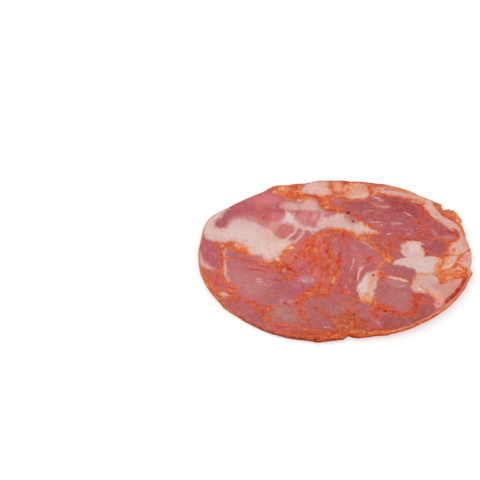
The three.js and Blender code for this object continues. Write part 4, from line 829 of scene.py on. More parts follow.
# Marks that lie over all else, such as knots of paste, bits of fat and specks of spice pressed into the cut:
# colour, how plainly it shows, width in mm, and its run.
MARKS = [
    # knots of paste
    ((186, 20, 8), 1, 0.85, [(-19.8, -7.2), (-18.8, -7.7)]),
    ((204, 48, 18), 0.8, 0.55, [(2, -1.6), (1.7, -3.6), (1.2, -5.6)]),
    ((188, 66, 26), 0.7, 0.6, [(-16.6, -0.4), (-16.2, -0.9)]),
    ((154, 20, 6), 0.9, 0.9, [(49.2, -19.8), (48.4, -20.8)]),
    ((164, 30, 12), 0.8, 0.8, [(46.8, -23.2), (45.4, -24.9)]),
    ((186, 60, 34), 0.8, 0.45, [(37.4, 5.2), (38.4, 4.1)]),
    ((158, 58, 30), 0.7, 0.6, [(-22.4, -9.2), (-22.2, -9.8)]),
    ((194, 74, 34), 0.8, 0.7, [(29.8, -14.8), (30.3, -15.4)]),
    ((210, 82, 42), 0.6, 1.3, [(-13, 2), (-11, 1), (-9.8, -1.4)]),
    ((170, 82, 84), 0.6, 1.2, [(35.2, -32.8), (36.4, -29.6)]),
    # bright bits of fat, skin and paste
    ((228, 168, 150), 0.6, 0.4, [(35.8, 33.1), (37.6, 32), (39, 31)]),
    ((226, 128, 86), 0.8, 1.0, [(-23, 38.6), (-21, 37.4)]),
    ((220, 150, 124), 0.8, 1.0, [(18.6, 41), (20, 40.2)]),
    ((232, 164, 122), 0.85, 0.8, [(20.6, 41.4), (23, 41.2)]),
    ((238, 140, 66), 0.9, 0.8, [(52.4, 26), (53.6, 23.7), (54.5, 21)]),
    ((230, 118, 44), 0.9, 0.8, [(54.1, 17.8), (54.8, 15.2), (55.3, 12.6)]),
    ((236, 132, 50), 0.8, 0.5, [(33.7, 35.7), (33.7, 35.1)]),
    ((232, 170, 132), 0.8, 0.6, [(-2.7, 29.7), (-1.9, 29)]),
    ((234, 176, 142), 0.8, 0.5, [(2.6, 27.5), (3, 26.6)]),
    ((228, 138, 80), 0.6, 0.6, [(-3.6, 33.2), (-3.1, 31.4)]),
    ((230, 130, 86), 0.65, 1.0, [(-2.6, 34.6), (-1.8, 32.4)]),
    ((232, 158, 100), 0.6, 0.9, [(-3.4, 12.6), (-2.4, 12.2)]),
    ((232, 150, 84), 0.6, 0.5, [(-1.5, 43.8), (-0.6, 42.2)]),
    ((226, 128, 104), 0.6, 0.3, [(53.4, -14.8), (51.6, -18.6), (48.9, -22.4), (45.7, -26), (43, -28.8)]),
    ((218, 152, 120), 0.55, 0.7, [(11, 8.9), (13, 7.2), (15.8, 4.8)]),
    ((230, 152, 92), 0.7, 0.6, [(-47.6, -21.4), (-45.8, -21.8)]),
    ((228, 150, 90), 0.6, 0.7, [(-14, 42.4), (-14.2, 39.4), (-12.8, 37.6)]),
    ((234, 186, 164), 0.95, 0.9, [(-24.3, -1.4), (-23.8, -2.6)]),
    ((236, 182, 152), 0.9, 0.7, [(-18.5, 4.3), (-17.8, 5)]),
    ((232, 160, 120), 0.8, 0.8, [(-40.4, 5.1), (-39.8, 4.8)]),
    ((226, 166, 150), 0.8, 0.7, [(-47.6, 6.2), (-46.6, 6)]),
    ((232, 176, 146), 0.8, 0.6, [(-41.6, 6.4), (-40.8, 6)]),
    ((234, 118, 44), 0.8, 0.8, [(-38.6, 4.6), (-37.8, 4.2)]),
    ((230, 160, 126), 0.6, 0.5, [(-28.7, -29.6), (-28.2, -29.5)]),
    ((214, 130, 114), 0.6, 0.5, [(-28.7, -34.2), (-28.4, -34.4)]),
    ((228, 150, 118), 0.8, 0.5, [(-0.6, -12.6), (-1, -14.2), (-1.5, -15.6)]),
    ((214, 150, 118), 0.8, 0.6, [(-21.6, -7.9), (-21.2, -8.1)]),
    ((234, 168, 120), 0.8, 0.7, [(-23.4, 43.5), (-20.6, 43.4)]),
    ((226, 112, 34), 0.9, 0.8, [(44.4, -12.8), (43.8, -14.4)]),
    ((228, 140, 58), 0.7, 1.1, [(41.8, -6), (41.9, -7.6)]),
    ((236, 200, 176), 0.6, 0.7, [(45.4, -6.8), (47.4, -6.2), (48.6, -5)]),
    ((234, 196, 170), 0.6, 0.6, [(47.2, -3.2), (49.4, -1.8)]),
    ((232, 190, 166), 0.7, 0.5, [(50.4, -7.4), (51.2, -8)]),
    ((228, 150, 72), 0.6, 0.5, [(12.4, -21.2), (12, -22.4)]),
    ((232, 146, 66), 0.7, 0.5, [(14.9, -26.4), (15.1, -27)]),
    ((218, 132, 72), 0.55, 0.8, [(-0.8, -39), (1.8, -38.7), (4, -39)]),
    ((218, 134, 76), 0.5, 0.9, [(4.9, -36.6), (5.1, -38.4)]),
    ((214, 146, 88), 0.6, 0.6, [(4, -42.2), (9, -42)]),
    ((214, 158, 108), 0.5, 0.7, [(9, -43), (12.6, -43.2)]),
    ((228, 150, 92), 0.6, 0.35, [(-5.4, -42.4), (-4.4, -43.2)]),
    ((226, 168, 116), 0.5, 0.4, [(13.4, -42.6), (14.4, -41.6)]),
    ((226, 150, 92), 0.6, 0.7, [(21.7, -1.7), (22.2, -2)]),
    ((222, 150, 104), 0.6, 0.5, [(19.6, -3.7), (19.2, -4.4)]),
    ((236, 198, 186), 0.8, 0.5, [(53.1, 20.8), (53.3, 20)]),
    ((236, 206, 190), 0.8, 0.45, [(55, 18.9), (55.1, 17.9)]),
    ((224, 180, 150), 0.7, 0.45, [(47.9, 25.6), (48.5, 25.3)]),
    ((238, 210, 200), 0.8, 0.6, [(33.4, -18.8), (34, -19.4)]),
    ((234, 196, 180), 0.7, 0.35, [(39.8, -12.6), (40.6, -13.2)]),
    ((228, 184, 170), 0.7, 0.6, [(-21.7, 30.6), (-21.3, 30.2)]),
    ((224, 166, 160), 0.6, 0.6, [(-25.2, 29.2), (-24.8, 29)]),
    ((230, 176, 170), 0.6, 0.4, [(49.4, 15.6), (50.2, 14.6), (51, 14.8)]),
    ((228, 186, 196), 0.6, 0.35, [(36.9, 6.6), (36.4, 8)]),
]

PLAIN_MEAT = (188, 98, 92)
CLEAN_FAT = (219, 187, 180)
PINK_FAT = (214, 150, 138)
FAN_REACH = 22.0  # mm from where strands run together at which they lie as far apart as elsewhere
PLAIN_STRANDS = 0.4  # how much strands show between the muscles
FIRST_FIBRE = 50  # seed of the first fat's fibres, past the seeds of the muscles' strands
FIBRE_PACK = 2.2  # how many times shorter the grain of paste is on fat than on meat
LEAST_BLOTCH = 0.15  # how blotched fat is that isn't pink
SEAM_SOAK = 0.65  # how much of a seam's paste has soaked into the meat beside it
SEAM_SOAK_WIDTH = 2.0  # how many times as wide as the seam the soaked band is
STAIN_SOAK = 0.4  # the same for a stain
STAIN_SOAK_WIDTH = 0.8  # mm that soaked meat reaches past a stain
MIDDLING = 0.5  # how bright paste is far from any seam or stain
MIDDLING_SHARE = 0.02  # how much that weighs beside them

warped = wobble(wobble(plan, period=3.2, amount=0.55), period=1.2, amount=0.4, seed=7)
strayed = wobble(warped, period=4, amount=0.5, seed=11)
smear = wobble(plan, period=5, amount=0.8, seed=3)


def laid_along(run, seed):
    """Where points lie along and across the strands or fibres that run at an angle."""
    a = math.radians(run)
    return np.stack([smear @ (math.cos(a), math.sin(a)), smear @ (-math.sin(a), math.cos(a)),
                     np.full(count, float(seed))], axis=1)


def fanned_from(point, seed):
    """Where points lie along and across strands that run together at a point."""
    spread = smear - point
    return np.stack([np.hypot(*spread.T), np.arctan2(spread[:, 0], -spread[:, 1]) * FAN_REACH,
                     np.full(count, float(seed))], axis=1)


def fade_at_ends(run, points, over, least):
    """Tapers a line's layer off towards both of its ends."""
    near = np.minimum(*(np.hypot(*(points - end).T) for end in np.array([run[0], run[-1]], float)))
    return least + (1 - least) * smoothstep(0, over, near)


lean = np.tile(seen_as(*PLAIN_MEAT), (count, 1))
strands = np.full(count, PLAIN_STRANDS)
grain = laid_along(0, 0)
for seed, (colour, run, shows, soft, outline) in enumerate(MUSCLES.values(), start=1):
    cover = smoothstep(-soft, soft, depth_in(outline, warped))
    lean += (seen_as(*colour) - lean) * cover[:, None]
    here = cover > 0.5
    strands[here] = shows
    laid = fanned_from if isinstance(run, tuple) else laid_along
    grain[here] = laid(run, seed)[here]

fat = np.full(count, -MARGIN)
fat_soft, fat_frayed, blotched = (np.full(count, away_from_fat) for away_from_fat in (0.5, 0.5, 0.3))
fibre = laid_along(90, FIRST_FIBRE)
pale = np.tile(seen_as(*CLEAN_FAT), (count, 1))
for seed, (soft, pink, frayed, run, outline) in enumerate(FATS.values(), start=FIRST_FIBRE):
    depth = depth_in(outline, warped)
    here = depth > fat
    fat[here] = depth[here]
    fat_soft[here] = soft
    fat_frayed[here] = frayed
    blotched[here] = LEAST_BLOTCH + pink
    fibre[here] = laid_along(run, seed)[here]
    pale[here] = seen_as(*CLEAN_FAT) * (1 - pink) + seen_as(*PINK_FAT) * pink
grain[fat > 0] = fibre[fat > 0] * (FIBRE_PACK, 1, 1)

for colour, on_meat, on_fat, soft, outline in TINTS:
    cover = smoothstep(-soft, soft, depth_in(outline, strayed))[:, None]
    lean += (seen_as(*colour) - lean) * cover * on_meat
    pale += (seen_as(*colour) - pale) * cover * on_fat

seam_swell = 1 + 0.55 * unevenness(plan, period=1.9, seed=21) + 0.25 * unevenness(plan, period=0.8, seed=22)
unfilled, unstained, unsoaked = np.ones((3, count))
bright_sum, bright_weight = np.zeros((2, count))
for width, amount, bright, run in SEAMS:
    taper = fade_at_ends(run, warped, over=1.2, least=0.5)
    off = distance_to(smooth_line(run, False), warped) / (width * seam_swell * taper)
    layer = amount * np.exp(-off ** 2)
    unfilled *= 1 - layer
    unsoaked *= 1 - SEAM_SOAK * amount * np.exp(-(off / SEAM_SOAK_WIDTH) ** 2)
    bright_sum += layer * bright
    bright_weight += layer
for soft, amount, bright, outline in STAINS:
    depth = depth_in(outline, warped)
    layer = amount * smoothstep(-soft, soft, depth)
    unstained *= 1 - layer
    unsoaked *= 1 - STAIN_SOAK * amount * smoothstep(-soft - STAIN_SOAK_WIDTH, soft, depth)
    bright_sum += layer * bright
    bright_weight += layer
soaked = 1 - unsoaked
paste_bright = (bright_sum + MIDDLING * MIDDLING_SHARE) / (bright_weight + MIDDLING_SHARE)

tissue = np.zeros(count)
for width, plain, run in TISSUE:
    taper = fade_at_ends(run, smear, over=min(3.0, 0.4 * math.dist(run[0], run[-1])), least=0.0)
    off = distance_to(smooth_line(run, False), smear) / (width * seam_swell)
    tissue = np.maximum(tissue, plain * taper * np.exp(-off ** 2))

mark_colour = np.tile(seen_as(*PLAIN_MEAT), (count, 1))
marked = np.zeros(count)
for colour, plain, width, run in MARKS:
    layer = plain * np.exp(-(distance_to(smooth_line(run, False), strayed) / width) ** 2)
    here = layer > marked
    mark_colour[here] = seen_as(*colour)
    marked[here] = layer[here]

rim_turn, *rim_stops = zip(*RIM_LINE)
rim_width, rim_bright, rim_plain = (np.interp(np.degrees(bearing), rim_turn, stops) for stops in rim_stops)
on_rind = (level > 0) & (level <= RIND_LEVELS)
from_rim = np.where(on_rind, -down_rind, (1 - share) * reach / MM)  # mm in on the cut, below 0 down the rind

# Relief of the cut and of the rind between its corners, in mm

FAT_PROUD = 0.05
SOAKED_SUNK = 0.06
PASTE_ROUGH = 0.12
CUT_ROUGH = 0.03
STRANDS_PROUD = 0.02
RIND_ROUGH = 0.12

rough = unevenness(plan, period=0.9, seed=31)
strand_ridges = unevenness(grain[:, :2] * (0.16, 1), period=1.1, seed=33)
paste = 1 - unfilled * unstained
relief = (FAT_PROUD * smoothstep(-1, 1.5, fat) - SOAKED_SUNK * soaked + PASTE_ROUGH * paste * rough
          + CUT_ROUGH * rough + STRANDS_PROUD * strands * strand_ridges)
place[:, 2] += np.where(level == 0, relief, 0) * MM
rind_rough = unevenness(place[:, :2] / MM + place[:, 2:] / MM * (1.3, 0.7), period=0.8, seed=37)
rind_out = np.where(on_rind & (level < RIND_LEVELS), RIND_ROUGH * rind_rough, 0) * MM
place[:, :2] += rind_out[:, None] * np.stack([np.cos(bearing), np.sin(bearing)], axis=1)

for vert, spot in zip(bm.verts, place):
    vert.co = spot


def into_scene(bm, name, closed=True):
    """Makes the shape a piece of the scene. One that is closed is smooth and faces outward."""
    if closed:
        bmesh.ops.recalc_face_normals(bm, faces=bm.faces)
        for face in bm.faces:
            face.smooth = True
    mesh = bpy.data.meshes.new(name)
    bm.to_mesh(mesh)
    bm.free()
    piece = bpy.data.objects.new(name, mesh)
    bpy.context.scene.collection.objects.link(piece)
    return piece


def lay_in(piece, name, columns):
    """Keeps three numbers a point with the mesh, for its material to read."""
    layer = piece.data.attributes.new(name, "FLOAT_VECTOR", "POINT")
    layer.data.foreach_set("vector", np.stack(columns, axis=1).astype(np.float32).ravel())


slice_piece = into_scene(bm, "sliced_meat")
for name, columns in {
        "lean": lean.T, "pale": pale.T, "grain": grain.T, "fibre": fibre.T, "mark": mark_colour.T,
        "fat": (fat, fat_soft, fat_frayed), "paste": (1 - unfilled, 1 - unstained, paste_bright),
        "cut": (strands, tissue, from_rim), "rim": (rim_width, rim_bright, soaked),
        "shows": (marked, rim_plain, blotched)}.items():
    lay_in(slice_piece, name, columns)


class Finish:
    """A material's node tree, built up a node at a time."""

    def __init__(self, name):
        self.material = bpy.data.materials.new(name)
        self.material.use_nodes = True
        self.tree = self.material.node_tree
        self.tree.nodes.clear()

    def put(self, kind, *values, out=0, **settings):
        made = self.tree.nodes.new("ShaderNode" + kind)
        for name, value in settings.items():
            setattr(made, name, value)
        for socket, value in zip(made.inputs, values):
            self.plug(socket, value)
        return made.outputs[out] if made.outputs else made

    def plug(self, socket, value):
        if isinstance(value, bpy.types.NodeSocket):
            self.tree.links.new(value, socket)
        elif value is not None:
            socket.default_value = value

    def in_mm(self):
        """Where on the piece a point is, in millimetres."""
        return self.scaled(self.put("TexCoord", out="Object"), 1 / MM, 1 / MM, 1 / MM)

    def scaled(self, spot, x, y, z):
        return self.put("VectorMath", spot, (x, y, z), operation="MULTIPLY")

    def noise(self, spot, scale, detail=2.0, rough=0.5, out=0, bent=0.0):
        return self.put("TexNoise", spot, None, scale, detail, rough, None, None, None, bent, out=out)

    def sum(self, a, b, times=1.0):
        return self.put("Math", b, times, a, operation="MULTIPLY_ADD")

    def times(self, a, b):
        return self.put("Math", a, b, operation="MULTIPLY")

    def varied(self, value, *noises):
        """A value moved up and down by noises, each given with how much it counts."""
        for noise_value, amount in noises:
            value = self.sum(value, self.sum(noise_value, -0.5), amount)
        return value

    def step(self, value, low, high, to_low=0.0, to_high=1.0):
        return self.put("MapRange", value, low, high, to_low, to_high, interpolation_type="SMOOTHSTEP")

    def blend(self, factor, a, b, how="MIX"):
        """Puts one colour over another. The upper one may be three numbers, as it shows in daylight."""
        made = self.tree.nodes.new("ShaderNodeMix")
        made.data_type = "RGBA"
        made.blend_type = how
        upper = (*seen_as(*b), 1) if isinstance(b, tuple) else b
        for index, value in ((0, factor), (6, a), (7, upper)):
            self.plug(made.inputs[index], value)
        return made.outputs[2]

    def brightened(self, colour, gain):
        return self.blend(1.0, colour, self.put("CombineXYZ", gain, gain, gain), "MULTIPLY")

    def layer(self, name):
        """What lay_in kept under a name: all three numbers together, then each."""
        read = self.tree.nodes.new("ShaderNodeAttribute")
        read.attribute_name = name
        split = self.tree.nodes.new("ShaderNodeSeparateXYZ")
        self.tree.links.new(read.outputs["Vector"], split.inputs[0])
        return read.outputs["Vector"], *split.outputs

    def ramp(self, value, stops):
        made = self.tree.nodes.new("ShaderNodeValToRGB")
        self.plug(made.inputs[0], value)
        ramp = made.color_ramp
        while len(ramp.elements) < len(stops):
            ramp.elements.new(0.5)
        for element, (at, colour) in zip(ramp.elements, stops):
            element.position = at
            element.color = (*seen_as(*colour), 1)
        return made.outputs[0]

    def close(self, piece, colour, roughness, height, depth, **constants):
        """Ends the tree with the shader, its bump as deep as is given in mm, and gives it to the piece."""
        shader = self.tree.nodes.new("ShaderNodeBsdfPrincipled")
        for name, value in constants.items():
            shader.inputs[name.replace("_", " ")].default_value = value
        self.plug(shader.inputs["Base Color"], colour)
        self.plug(shader.inputs["Roughness"], roughness)
        self.plug(shader.inputs["Normal"], self.put("Bump", 1.0, depth * MM, None, height))
        self.put("OutputMaterial", shader.outputs[0])
        piece.data.materials.append(self.material)


BROAD_LEAST = (0.765, 0.585, 0.60)  # drift of the meat's tone over the cut, and how far it goes up from there
BROAD_SWING = (0.36, 0.54, 0.54)
MOTTLED_MEAT = (214, 140, 130)
SINEW = (222, 168, 160)
CLOUDED_FAT = (208, 146, 136)
BLOTCHED_FAT = (206, 146, 132)
BRIGHT_FAT = (232, 206, 197)
THIN_TISSUE = (226, 184, 176)
SOAKED_FAT = (230, 142, 92)
SOAKED_MEAT = [(0.1, (194, 70, 42)), (0.5, (212, 92, 52)), (0.9, (226, 120, 66))]
PASTE_TONES = [(0.0, (162, 28, 8)), (0.25, (194, 54, 16)), (0.5, (212, 82, 26)), (0.75, (228, 118, 44)),
               (1.0, (238, 166, 104))]
# Tones of the rind; the darkest of them also serve as painted shade down its side.
RIND_AND_SHADE_TONES = [(0.0, (146, 40, 14)), (0.3, (188, 66, 26)), (0.6, (222, 106, 46)), (1.0, (238, 160, 104))]

meat = Finish("cooked_meat")
spot = meat.in_mm()
lean_tone, pale_tone, grain_spot, fibre_spot, mark_tone = (
    meat.layer(name)[0] for name in ("lean", "pale", "grain", "fibre", "mark"))
_, fat_depth, fat_edge, fat_fray = meat.layer("fat")
_, seam_fill, stain_amount, paste_glow = meat.layer("paste")
_, strand_shows, tissue_shows, rim_away = meat.layer("cut")
_, rim_wide, rim_glow, soaked_in = meat.layer("rim")
_, mark_shows, rim_shows, blotch = meat.layer("shows")

# Noises, each with its scale per mm, detail and roughness. Those on a grain are drawn out along it.
clump = meat.noise(spot, 0.45, 2.0, 0.55)
mottle = meat.noise(spot, 0.9, 3.0, 0.6)
speck = meat.noise(spot, 1.5, 3.0, 0.6)
fine_speck = meat.noise(spot, 2.4, 2.0, 0.6)
broad = meat.noise(spot, 0.14, 3.0, 0.55, out="Color")
strand = meat.noise(meat.scaled(grain_spot, 0.22, 1.1, 7.3), 1.0, 2.5, 0.6)
sinew = meat.noise(meat.scaled(grain_spot, 0.07, 0.5, 3.1), 1.0, 2.0, 0.55)
paste_run = meat.noise(meat.scaled(grain_spot, 0.24, 0.9, 5.7), 1.0, 2.0, 0.55, bent=0.4)
paste_hue = meat.noise(meat.scaled(grain_spot, 0.22, 0.7, 9.1), 1.0, 2.0, 0.5)
thread = meat.noise(meat.scaled(fibre_spot, 0.14, 0.8, 4.3), 1.0, 3.0, 0.65, bent=0.3)

# Meat, with its strands and sinews
broad_tone = meat.put("VectorMath", broad, BROAD_SWING, BROAD_LEAST, operation="MULTIPLY_ADD")
strand_gain = meat.varied(1.0, (strand, meat.times(strand_shows, 1.1)),
                          (speck, meat.sum(0.35, strand_shows, 0.3)), (clump, 0.25))
lean_colour = meat.brightened(meat.blend(1.0, lean_tone, broad_tone, "MULTIPLY"), strand_gain)
lean_colour = meat.blend(meat.step(mottle, 0.5, 0.75, 0.0, 0.3), lean_colour, MOTTLED_MEAT)
off_sinew = meat.put("Math", meat.sum(sinew, -0.5), operation="ABSOLUTE")
sinew_line = meat.times(meat.step(off_sinew, 0.03, 0.0, 0.0, 0.45), meat.step(clump, 0.4, 0.6))
lean_colour = meat.blend(meat.times(sinew_line, strand_shows), lean_colour, SINEW)

# Fat, with its fibres and ragged edge, and tissue over both
thread_amount = meat.times(meat.step(clump, 0.3, 0.7), meat.sum(0.5, blotch, 0.9))
fat_colour = meat.brightened(pale_tone, meat.varied(0.97, (thread, thread_amount)))
fat_colour = meat.blend(meat.step(clump, 0.5, 0.75, 0.0, 0.3), fat_colour, CLOUDED_FAT)
fat_colour = meat.blend(meat.times(blotch, meat.step(mottle, 0.45, 0.68)), fat_colour, BLOTCHED_FAT)
fat_colour = meat.blend(meat.step(speck, 0.5, 0.75, 0.0, 0.35), fat_colour, BRIGHT_FAT)
ragged = meat.varied(fat_depth, (thread, meat.times(fat_fray, 5.0)), (speck, 1.2))
flesh = meat.blend(meat.step(ragged, meat.times(fat_edge, -1.0), fat_edge), lean_colour, fat_colour)
tissue_mask = meat.step(meat.varied(tissue_shows, (speck, 0.7)), 0.1, 0.9)
flesh = meat.blend(meat.times(tissue_mask, 0.75), flesh, THIN_TISSUE)

# Paste: what soaked in, what is mottled over the cut and what fills the seams
over_fat = meat.step(ragged, -1.0, 0.6)
glow = meat.sum(meat.varied(paste_glow, (paste_hue, 1.4), (speck, 1.0), (mottle, 0.8)), over_fat, 0.15)
soak = meat.times(soaked_in, meat.varied(0.7, (mottle, 1.0), (paste_run, 1.4)))
soak_colour = meat.blend(over_fat, meat.ramp(glow, SOAKED_MEAT), SOAKED_FAT)
flesh = meat.blend(meat.step(soak, 0.0, 0.9, 0.0, 0.8), flesh, soak_colour)
stain = meat.varied(meat.sum(-0.35, stain_amount, 0.95), (paste_run, 2.4), (mottle, 1.0), (speck, 0.4))
stain_mask = meat.times(meat.step(stain, 0.1, 0.65), meat.step(stain_amount, 0.05, 0.35))
seam_mask = meat.step(meat.varied(seam_fill, (paste_run, 0.8), (speck, 0.7)), 0.15, 0.8)
paste_mask = meat.put("Math", stain_mask, seam_mask, operation="MAXIMUM")
colour = meat.blend(meat.times(paste_mask, 0.88), flesh, meat.ramp(glow, PASTE_TONES))

# Rind, with painted shade darkening it down its side, and the marks over all
rim_cover = meat.step(meat.varied(rim_away, (speck, meat.times(rim_wide, 2.0))),
                      rim_wide, meat.times(rim_wide, 0.2))
rim_spot = meat.put("VectorMath", meat.scaled(spot, 0.3, 0.3, 0.0),
                    meat.put("CombineXYZ", 0.0, 0.0, meat.times(rim_away, 2.6)), operation="ADD")
rim_streak = meat.noise(rim_spot, 1.0, 2.0, 0.5)
rim_tone_and_shade = meat.varied(rim_glow, (clump, 0.5), (rim_streak, 1.3))
# Painted shade: the rind's colour darkens down its side, as if that side were turned from the light.
rim_tone_and_shade = meat.sum(rim_tone_and_shade, meat.step(rim_away, -0.06, -0.36), -0.5)
rim_tone_and_shade = meat.sum(rim_tone_and_shade, meat.sum(rim_cover, -1.0), 0.7)
colour = meat.blend(meat.times(rim_cover, rim_shows), colour, meat.ramp(rim_tone_and_shade, RIND_AND_SHADE_TONES))
mark_mask = meat.step(meat.varied(mark_shows, (speck, 0.7)), 0.1, 0.95)
colour = meat.blend(mark_mask, colour, mark_tone)

height = meat.sum(meat.times(paste_mask, 0.4), meat.sum(speck, fine_speck, 0.5), 0.5)
height = meat.sum(height, meat.times(strand_shows, strand), 0.3)
gloss = meat.step(paste_mask, 0.0, 1.0, 0.4, 0.5)
meat.close(slice_piece, colour, gloss, height, 0.12, IOR=1.4, Specular_IOR_Level=0.25)
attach(slice_piece, "root")
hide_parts("coppa_slice")

# Crumbs of paste on the torn end
# Spice paste that broke up where the rind tore. It clings in small crumbs to the torn upper right end and
# round the nick in the front edge, and makes the rim there uneven.

CRUMBS = [  # bearings in degrees from and to, how many, most mm in from the rim and out of it, size in mm
    (34.5, 37.5, 10, 1.8, 0.2, 0.9),
    (29.4, 34.5, 22, 2.4, 0.3, 1.0),
    (21.5, 29.4, 34, 2.6, 0.35, 1.0),
    (13.0, 21.5, 16, 0.9, 0.2, 0.6),
    (-98.0, -87.5, 14, 1.2, 0.1, 0.6),
    (-85.0, -78.0, 10, 1.0, 0.1, 0.6),
]
CRUMB_SEED = 17
LUMP_UNEVEN = 0.45  # share of its size that a lump goes in and out
LUMP_KNOBS = 1.3  # how closely it goes in and out
LUMPS_APART = 900  # steps through the noise per metre, so that no two lumps are alike
JUST_INSIDE = 0.97  # share of the way out at which the height of the cut is taken for a crumb
SIDE_BAND = 1.2  # mm in from the rim within which crumbs may cling to the side
SIDE_GAP = 0.4  # mm between the crumbs and the surface that the slice lies on
CRUMB_TONES = [(0.25, (170, 62, 20)), (0.42, (206, 100, 38)), (0.55, (214, 132, 70)), (0.75, (232, 182, 140))]


def lump(bm, at, size, rng):
    """An uneven lump, turned any way about its own upright. Its shape goes by its place."""
    made = bmesh.ops.create_icosphere(bm, subdivisions=2, radius=1)["verts"]
    turned = Matrix.Rotation(rng.uniform(0, math.tau), 3, "Z")
    for vert in made:
        swell = 1 + LUMP_UNEVEN * noise.noise(vert.co * LUMP_KNOBS + Vector(at) * LUMPS_APART)
        vert.co = turned @ (vert.co * swell * Vector(size)) + Vector(at)
    return made


rng = np.random.default_rng(CRUMB_SEED)
bm = bmesh.new()
for first, last, many, inwards, outwards, size in CRUMBS:
    for _ in range(many):
        turn_at = math.radians(rng.uniform(first, last))
        half = size * rng.uniform(0.45, 1) * MM / 2
        rim = np.interp(turn_at, turn, rim_out) + np.interp(math.degrees(turn_at), *zip(*RIM_SWELL)) * MM
        out_to = rim + rng.uniform(-inwards, outwards) * MM - half
        x, y = out_to * math.cos(turn_at), out_to * math.sin(turn_at)
        top = height_at(x * JUST_INSIDE, y * JUST_INSIDE, True)
        z = rng.uniform(top * 0.6, top) if out_to > rim - SIDE_BAND * MM else top
        lump(bm, (x, y, max(z, half + SIDE_GAP * MM)), (half, half * rng.uniform(0.6, 0.9), half * 0.7), rng)
crumbs = into_scene(bm, "paste_crumbs")

crumb = Finish("paste_crumb")
spot = crumb.in_mm()
grit = crumb.noise(spot, 2.2, 3.0, 0.6)
crumb_tone = crumb.varied(crumb.noise(spot, 0.5, 2.0, 0.5), (grit, 0.7))
crumb.close(crumbs, crumb.ramp(crumb_tone, CRUMB_TONES), 0.5, grit, 0.1, IOR=1.4, Specular_IOR_Level=0.25)
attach(crumbs, "root")

# Flecks of chilli and pepper
# Coarsely crushed chilli skin and pepper husk from the paste, dark red-brown to nearly black. The blade
# pressed them flat into the cut face, so they stand barely proud of it.

FLECKS = [  # x and y in mm, length and width in mm, turn in degrees, how dark
    (6.9, 25.9, 2.3, 1.3, 68, 0.45), (8.6, 20.4, 2.2, 1.0, 58, 1.0), (15.2, -11.6, 1.9, 0.9, 88, 0.25),
    (18.8, -30.9, 1.8, 1.3, 25, 0.18), (7.8, 44.1, 1.2, 0.6, -20, 0.7), (10.2, 24.0, 1.2, 0.5, -45, 0.35),
    (37.3, 30.4, 1.1, 0.5, -30, 0.3), (38.5, 0.9, 1.2, 0.7, 0, 0.55), (-9.9, -45.9, 1.2, 0.6, 10, 1.0),
    (-19.4, -7.2, 1.4, 1.1, -25, 0.0), (48.7, -20.4, 1.5, 0.9, 55, 0.2), (-3.6, 2.9, 1.2, 0.8, 60, 0.0),
    (4.3, 12.2, 1.5, 0.7, 90, 0.2), (-16.4, -0.2, 0.8, 0.5, -40, 0.0), (6.0, -32.6, 1.3, 0.8, 90, 0.3),
    (-3.3, -6.8, 0.9, 0.5, 80, 0.2), (50.9, 12.8, 1.2, 0.6, -20, 0.25), (10.6, -43.4, 1.0, 0.6, 10, 0.5),
    (-21.5, -26.5, 1.0, 0.6, -45, 0.15)]
FLECK_RISE = 0.1  # mm that a fleck's top stands over the cut
FLECK_THICK = 0.22  # mm
FLECK_UNEVEN = 0.25  # share of its size that a fleck goes in and out
FLECK_KNOBS = 5  # how closely it goes in and out
HUSK_TONES = [(0.0, (192, 40, 14)), (0.3, (142, 30, 14)), (0.65, (98, 32, 22)), (1.0, (44, 30, 30))]

bm = bmesh.new()
shade = []
for x, y, length, width, run, dark in FLECKS:
    top = height_at(x * MM, y * MM, True)
    way = Matrix.Rotation(math.radians(run), 3, "Z")
    made = lump(bm, (0, 0, 0), (0.5, 0.5, 0.5), rng)
    for vert in made:
        swell = 1 + FLECK_UNEVEN * noise.noise(vert.co * FLECK_KNOBS + Vector((x, y, 0)))
        pressed = way @ (vert.co * Vector((length, width, FLECK_THICK)) * swell)
        vert.co = (pressed + Vector((x, y, FLECK_RISE - FLECK_THICK / 2))) * MM + Vector((0, 0, top))
    shade += [dark] * len(made)
flecks = into_scene(bm, "spice_flecks")
lay_in(flecks, "shade", [shade, shade, shade])

husk = Finish("chilli_husk")
grit = husk.noise(husk.in_mm(), 2.6, 2.0, 0.6)
husk_colour = husk.ramp(husk.varied(husk.layer("shade")[1], (grit, 0.4)), HUSK_TONES)
husk.close(flecks, husk_colour, 0.45, grit, 0.08, IOR=1.4, Specular_IOR_Level=0.3)
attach(flecks, "root")

# Floor, lights and camera
# A pale sheet to lie on, soft light from all round with a broad lamp above and behind, and a camera that
# looks down at 45 degrees.

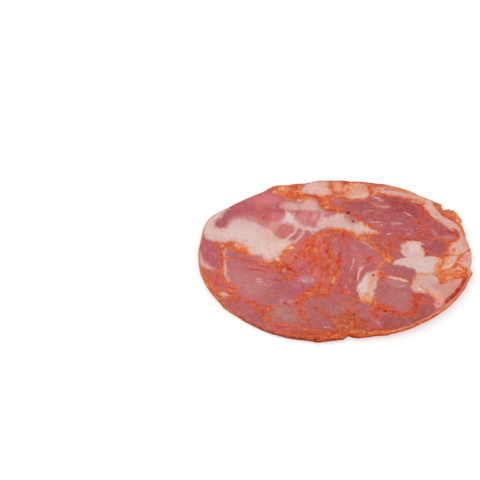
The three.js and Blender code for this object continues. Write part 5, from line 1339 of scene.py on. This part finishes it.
FLOOR_SIZE = 3.0
FLOOR_GAP = 0.05  # mm under the slice
SHEET_GREY = (0.52, 0.52, 0.52, 1)
SHEET_GLOW = 0.5
SKY_STRENGTH = 0.87
LAMP_SIZE = 0.8
LAMP_POWER = 2.0
LAMP_PLACE = (-0.35, 0.45, 0.75)
LOOK_DOWN = math.radians(45)
LOOK_FROM = 0.6  # m from the point on the floor that the camera looks at
LOOK_AT = (-0.03964, 0.01108)  # m, left of the slice and a little behind its middle
LENS = 106.2
WHITE = (1, 1, 1, 1)

bm = bmesh.new()
bmesh.ops.create_grid(bm, x_segments=1, y_segments=1, size=FLOOR_SIZE / 2)
bmesh.ops.translate(bm, verts=bm.verts, vec=(0, 0, -FLOOR_GAP * MM))
floor = into_scene(bm, "floor", closed=False)
sheet = Finish("pale_sheet")
sheet_grain = sheet.noise(sheet.put("TexCoord", out="Object"), 60.0)
sheet.close(floor, SHEET_GREY, 0.8, sheet_grain, 0.1, Emission_Color=WHITE, Emission_Strength=SHEET_GLOW)

world = bpy.context.scene.world or bpy.data.worlds.new("daylight")
bpy.context.scene.world = world
world.use_nodes = True
sky = world.node_tree.nodes["Background"]
sky.inputs["Color"].default_value = WHITE
sky.inputs["Strength"].default_value = SKY_STRENGTH

light = bpy.data.lights.new("window", "AREA")
light.shape = "SQUARE"
light.size = LAMP_SIZE
light.energy = LAMP_POWER
window = bpy.data.objects.new("window", light)
window.location = LAMP_PLACE
window.rotation_euler = (-window.location).to_track_quat("-Z", "Y").to_euler()
bpy.context.scene.collection.objects.link(window)

camera_data = bpy.data.cameras.new("camera")
camera_data.lens = LENS
camera_data.sensor_width = 36
camera_data.clip_start = 0.01
camera = bpy.data.objects.new("camera", camera_data)
camera.location = (LOOK_AT[0], LOOK_AT[1] - LOOK_FROM * math.sin(LOOK_DOWN), LOOK_FROM * math.cos(LOOK_DOWN))
camera.rotation_euler = (LOOK_DOWN, 0, 0)
bpy.context.scene.collection.objects.link(camera)
bpy.context.scene.camera = camera
bpy.context.scene.view_settings.view_transform = "Standard"
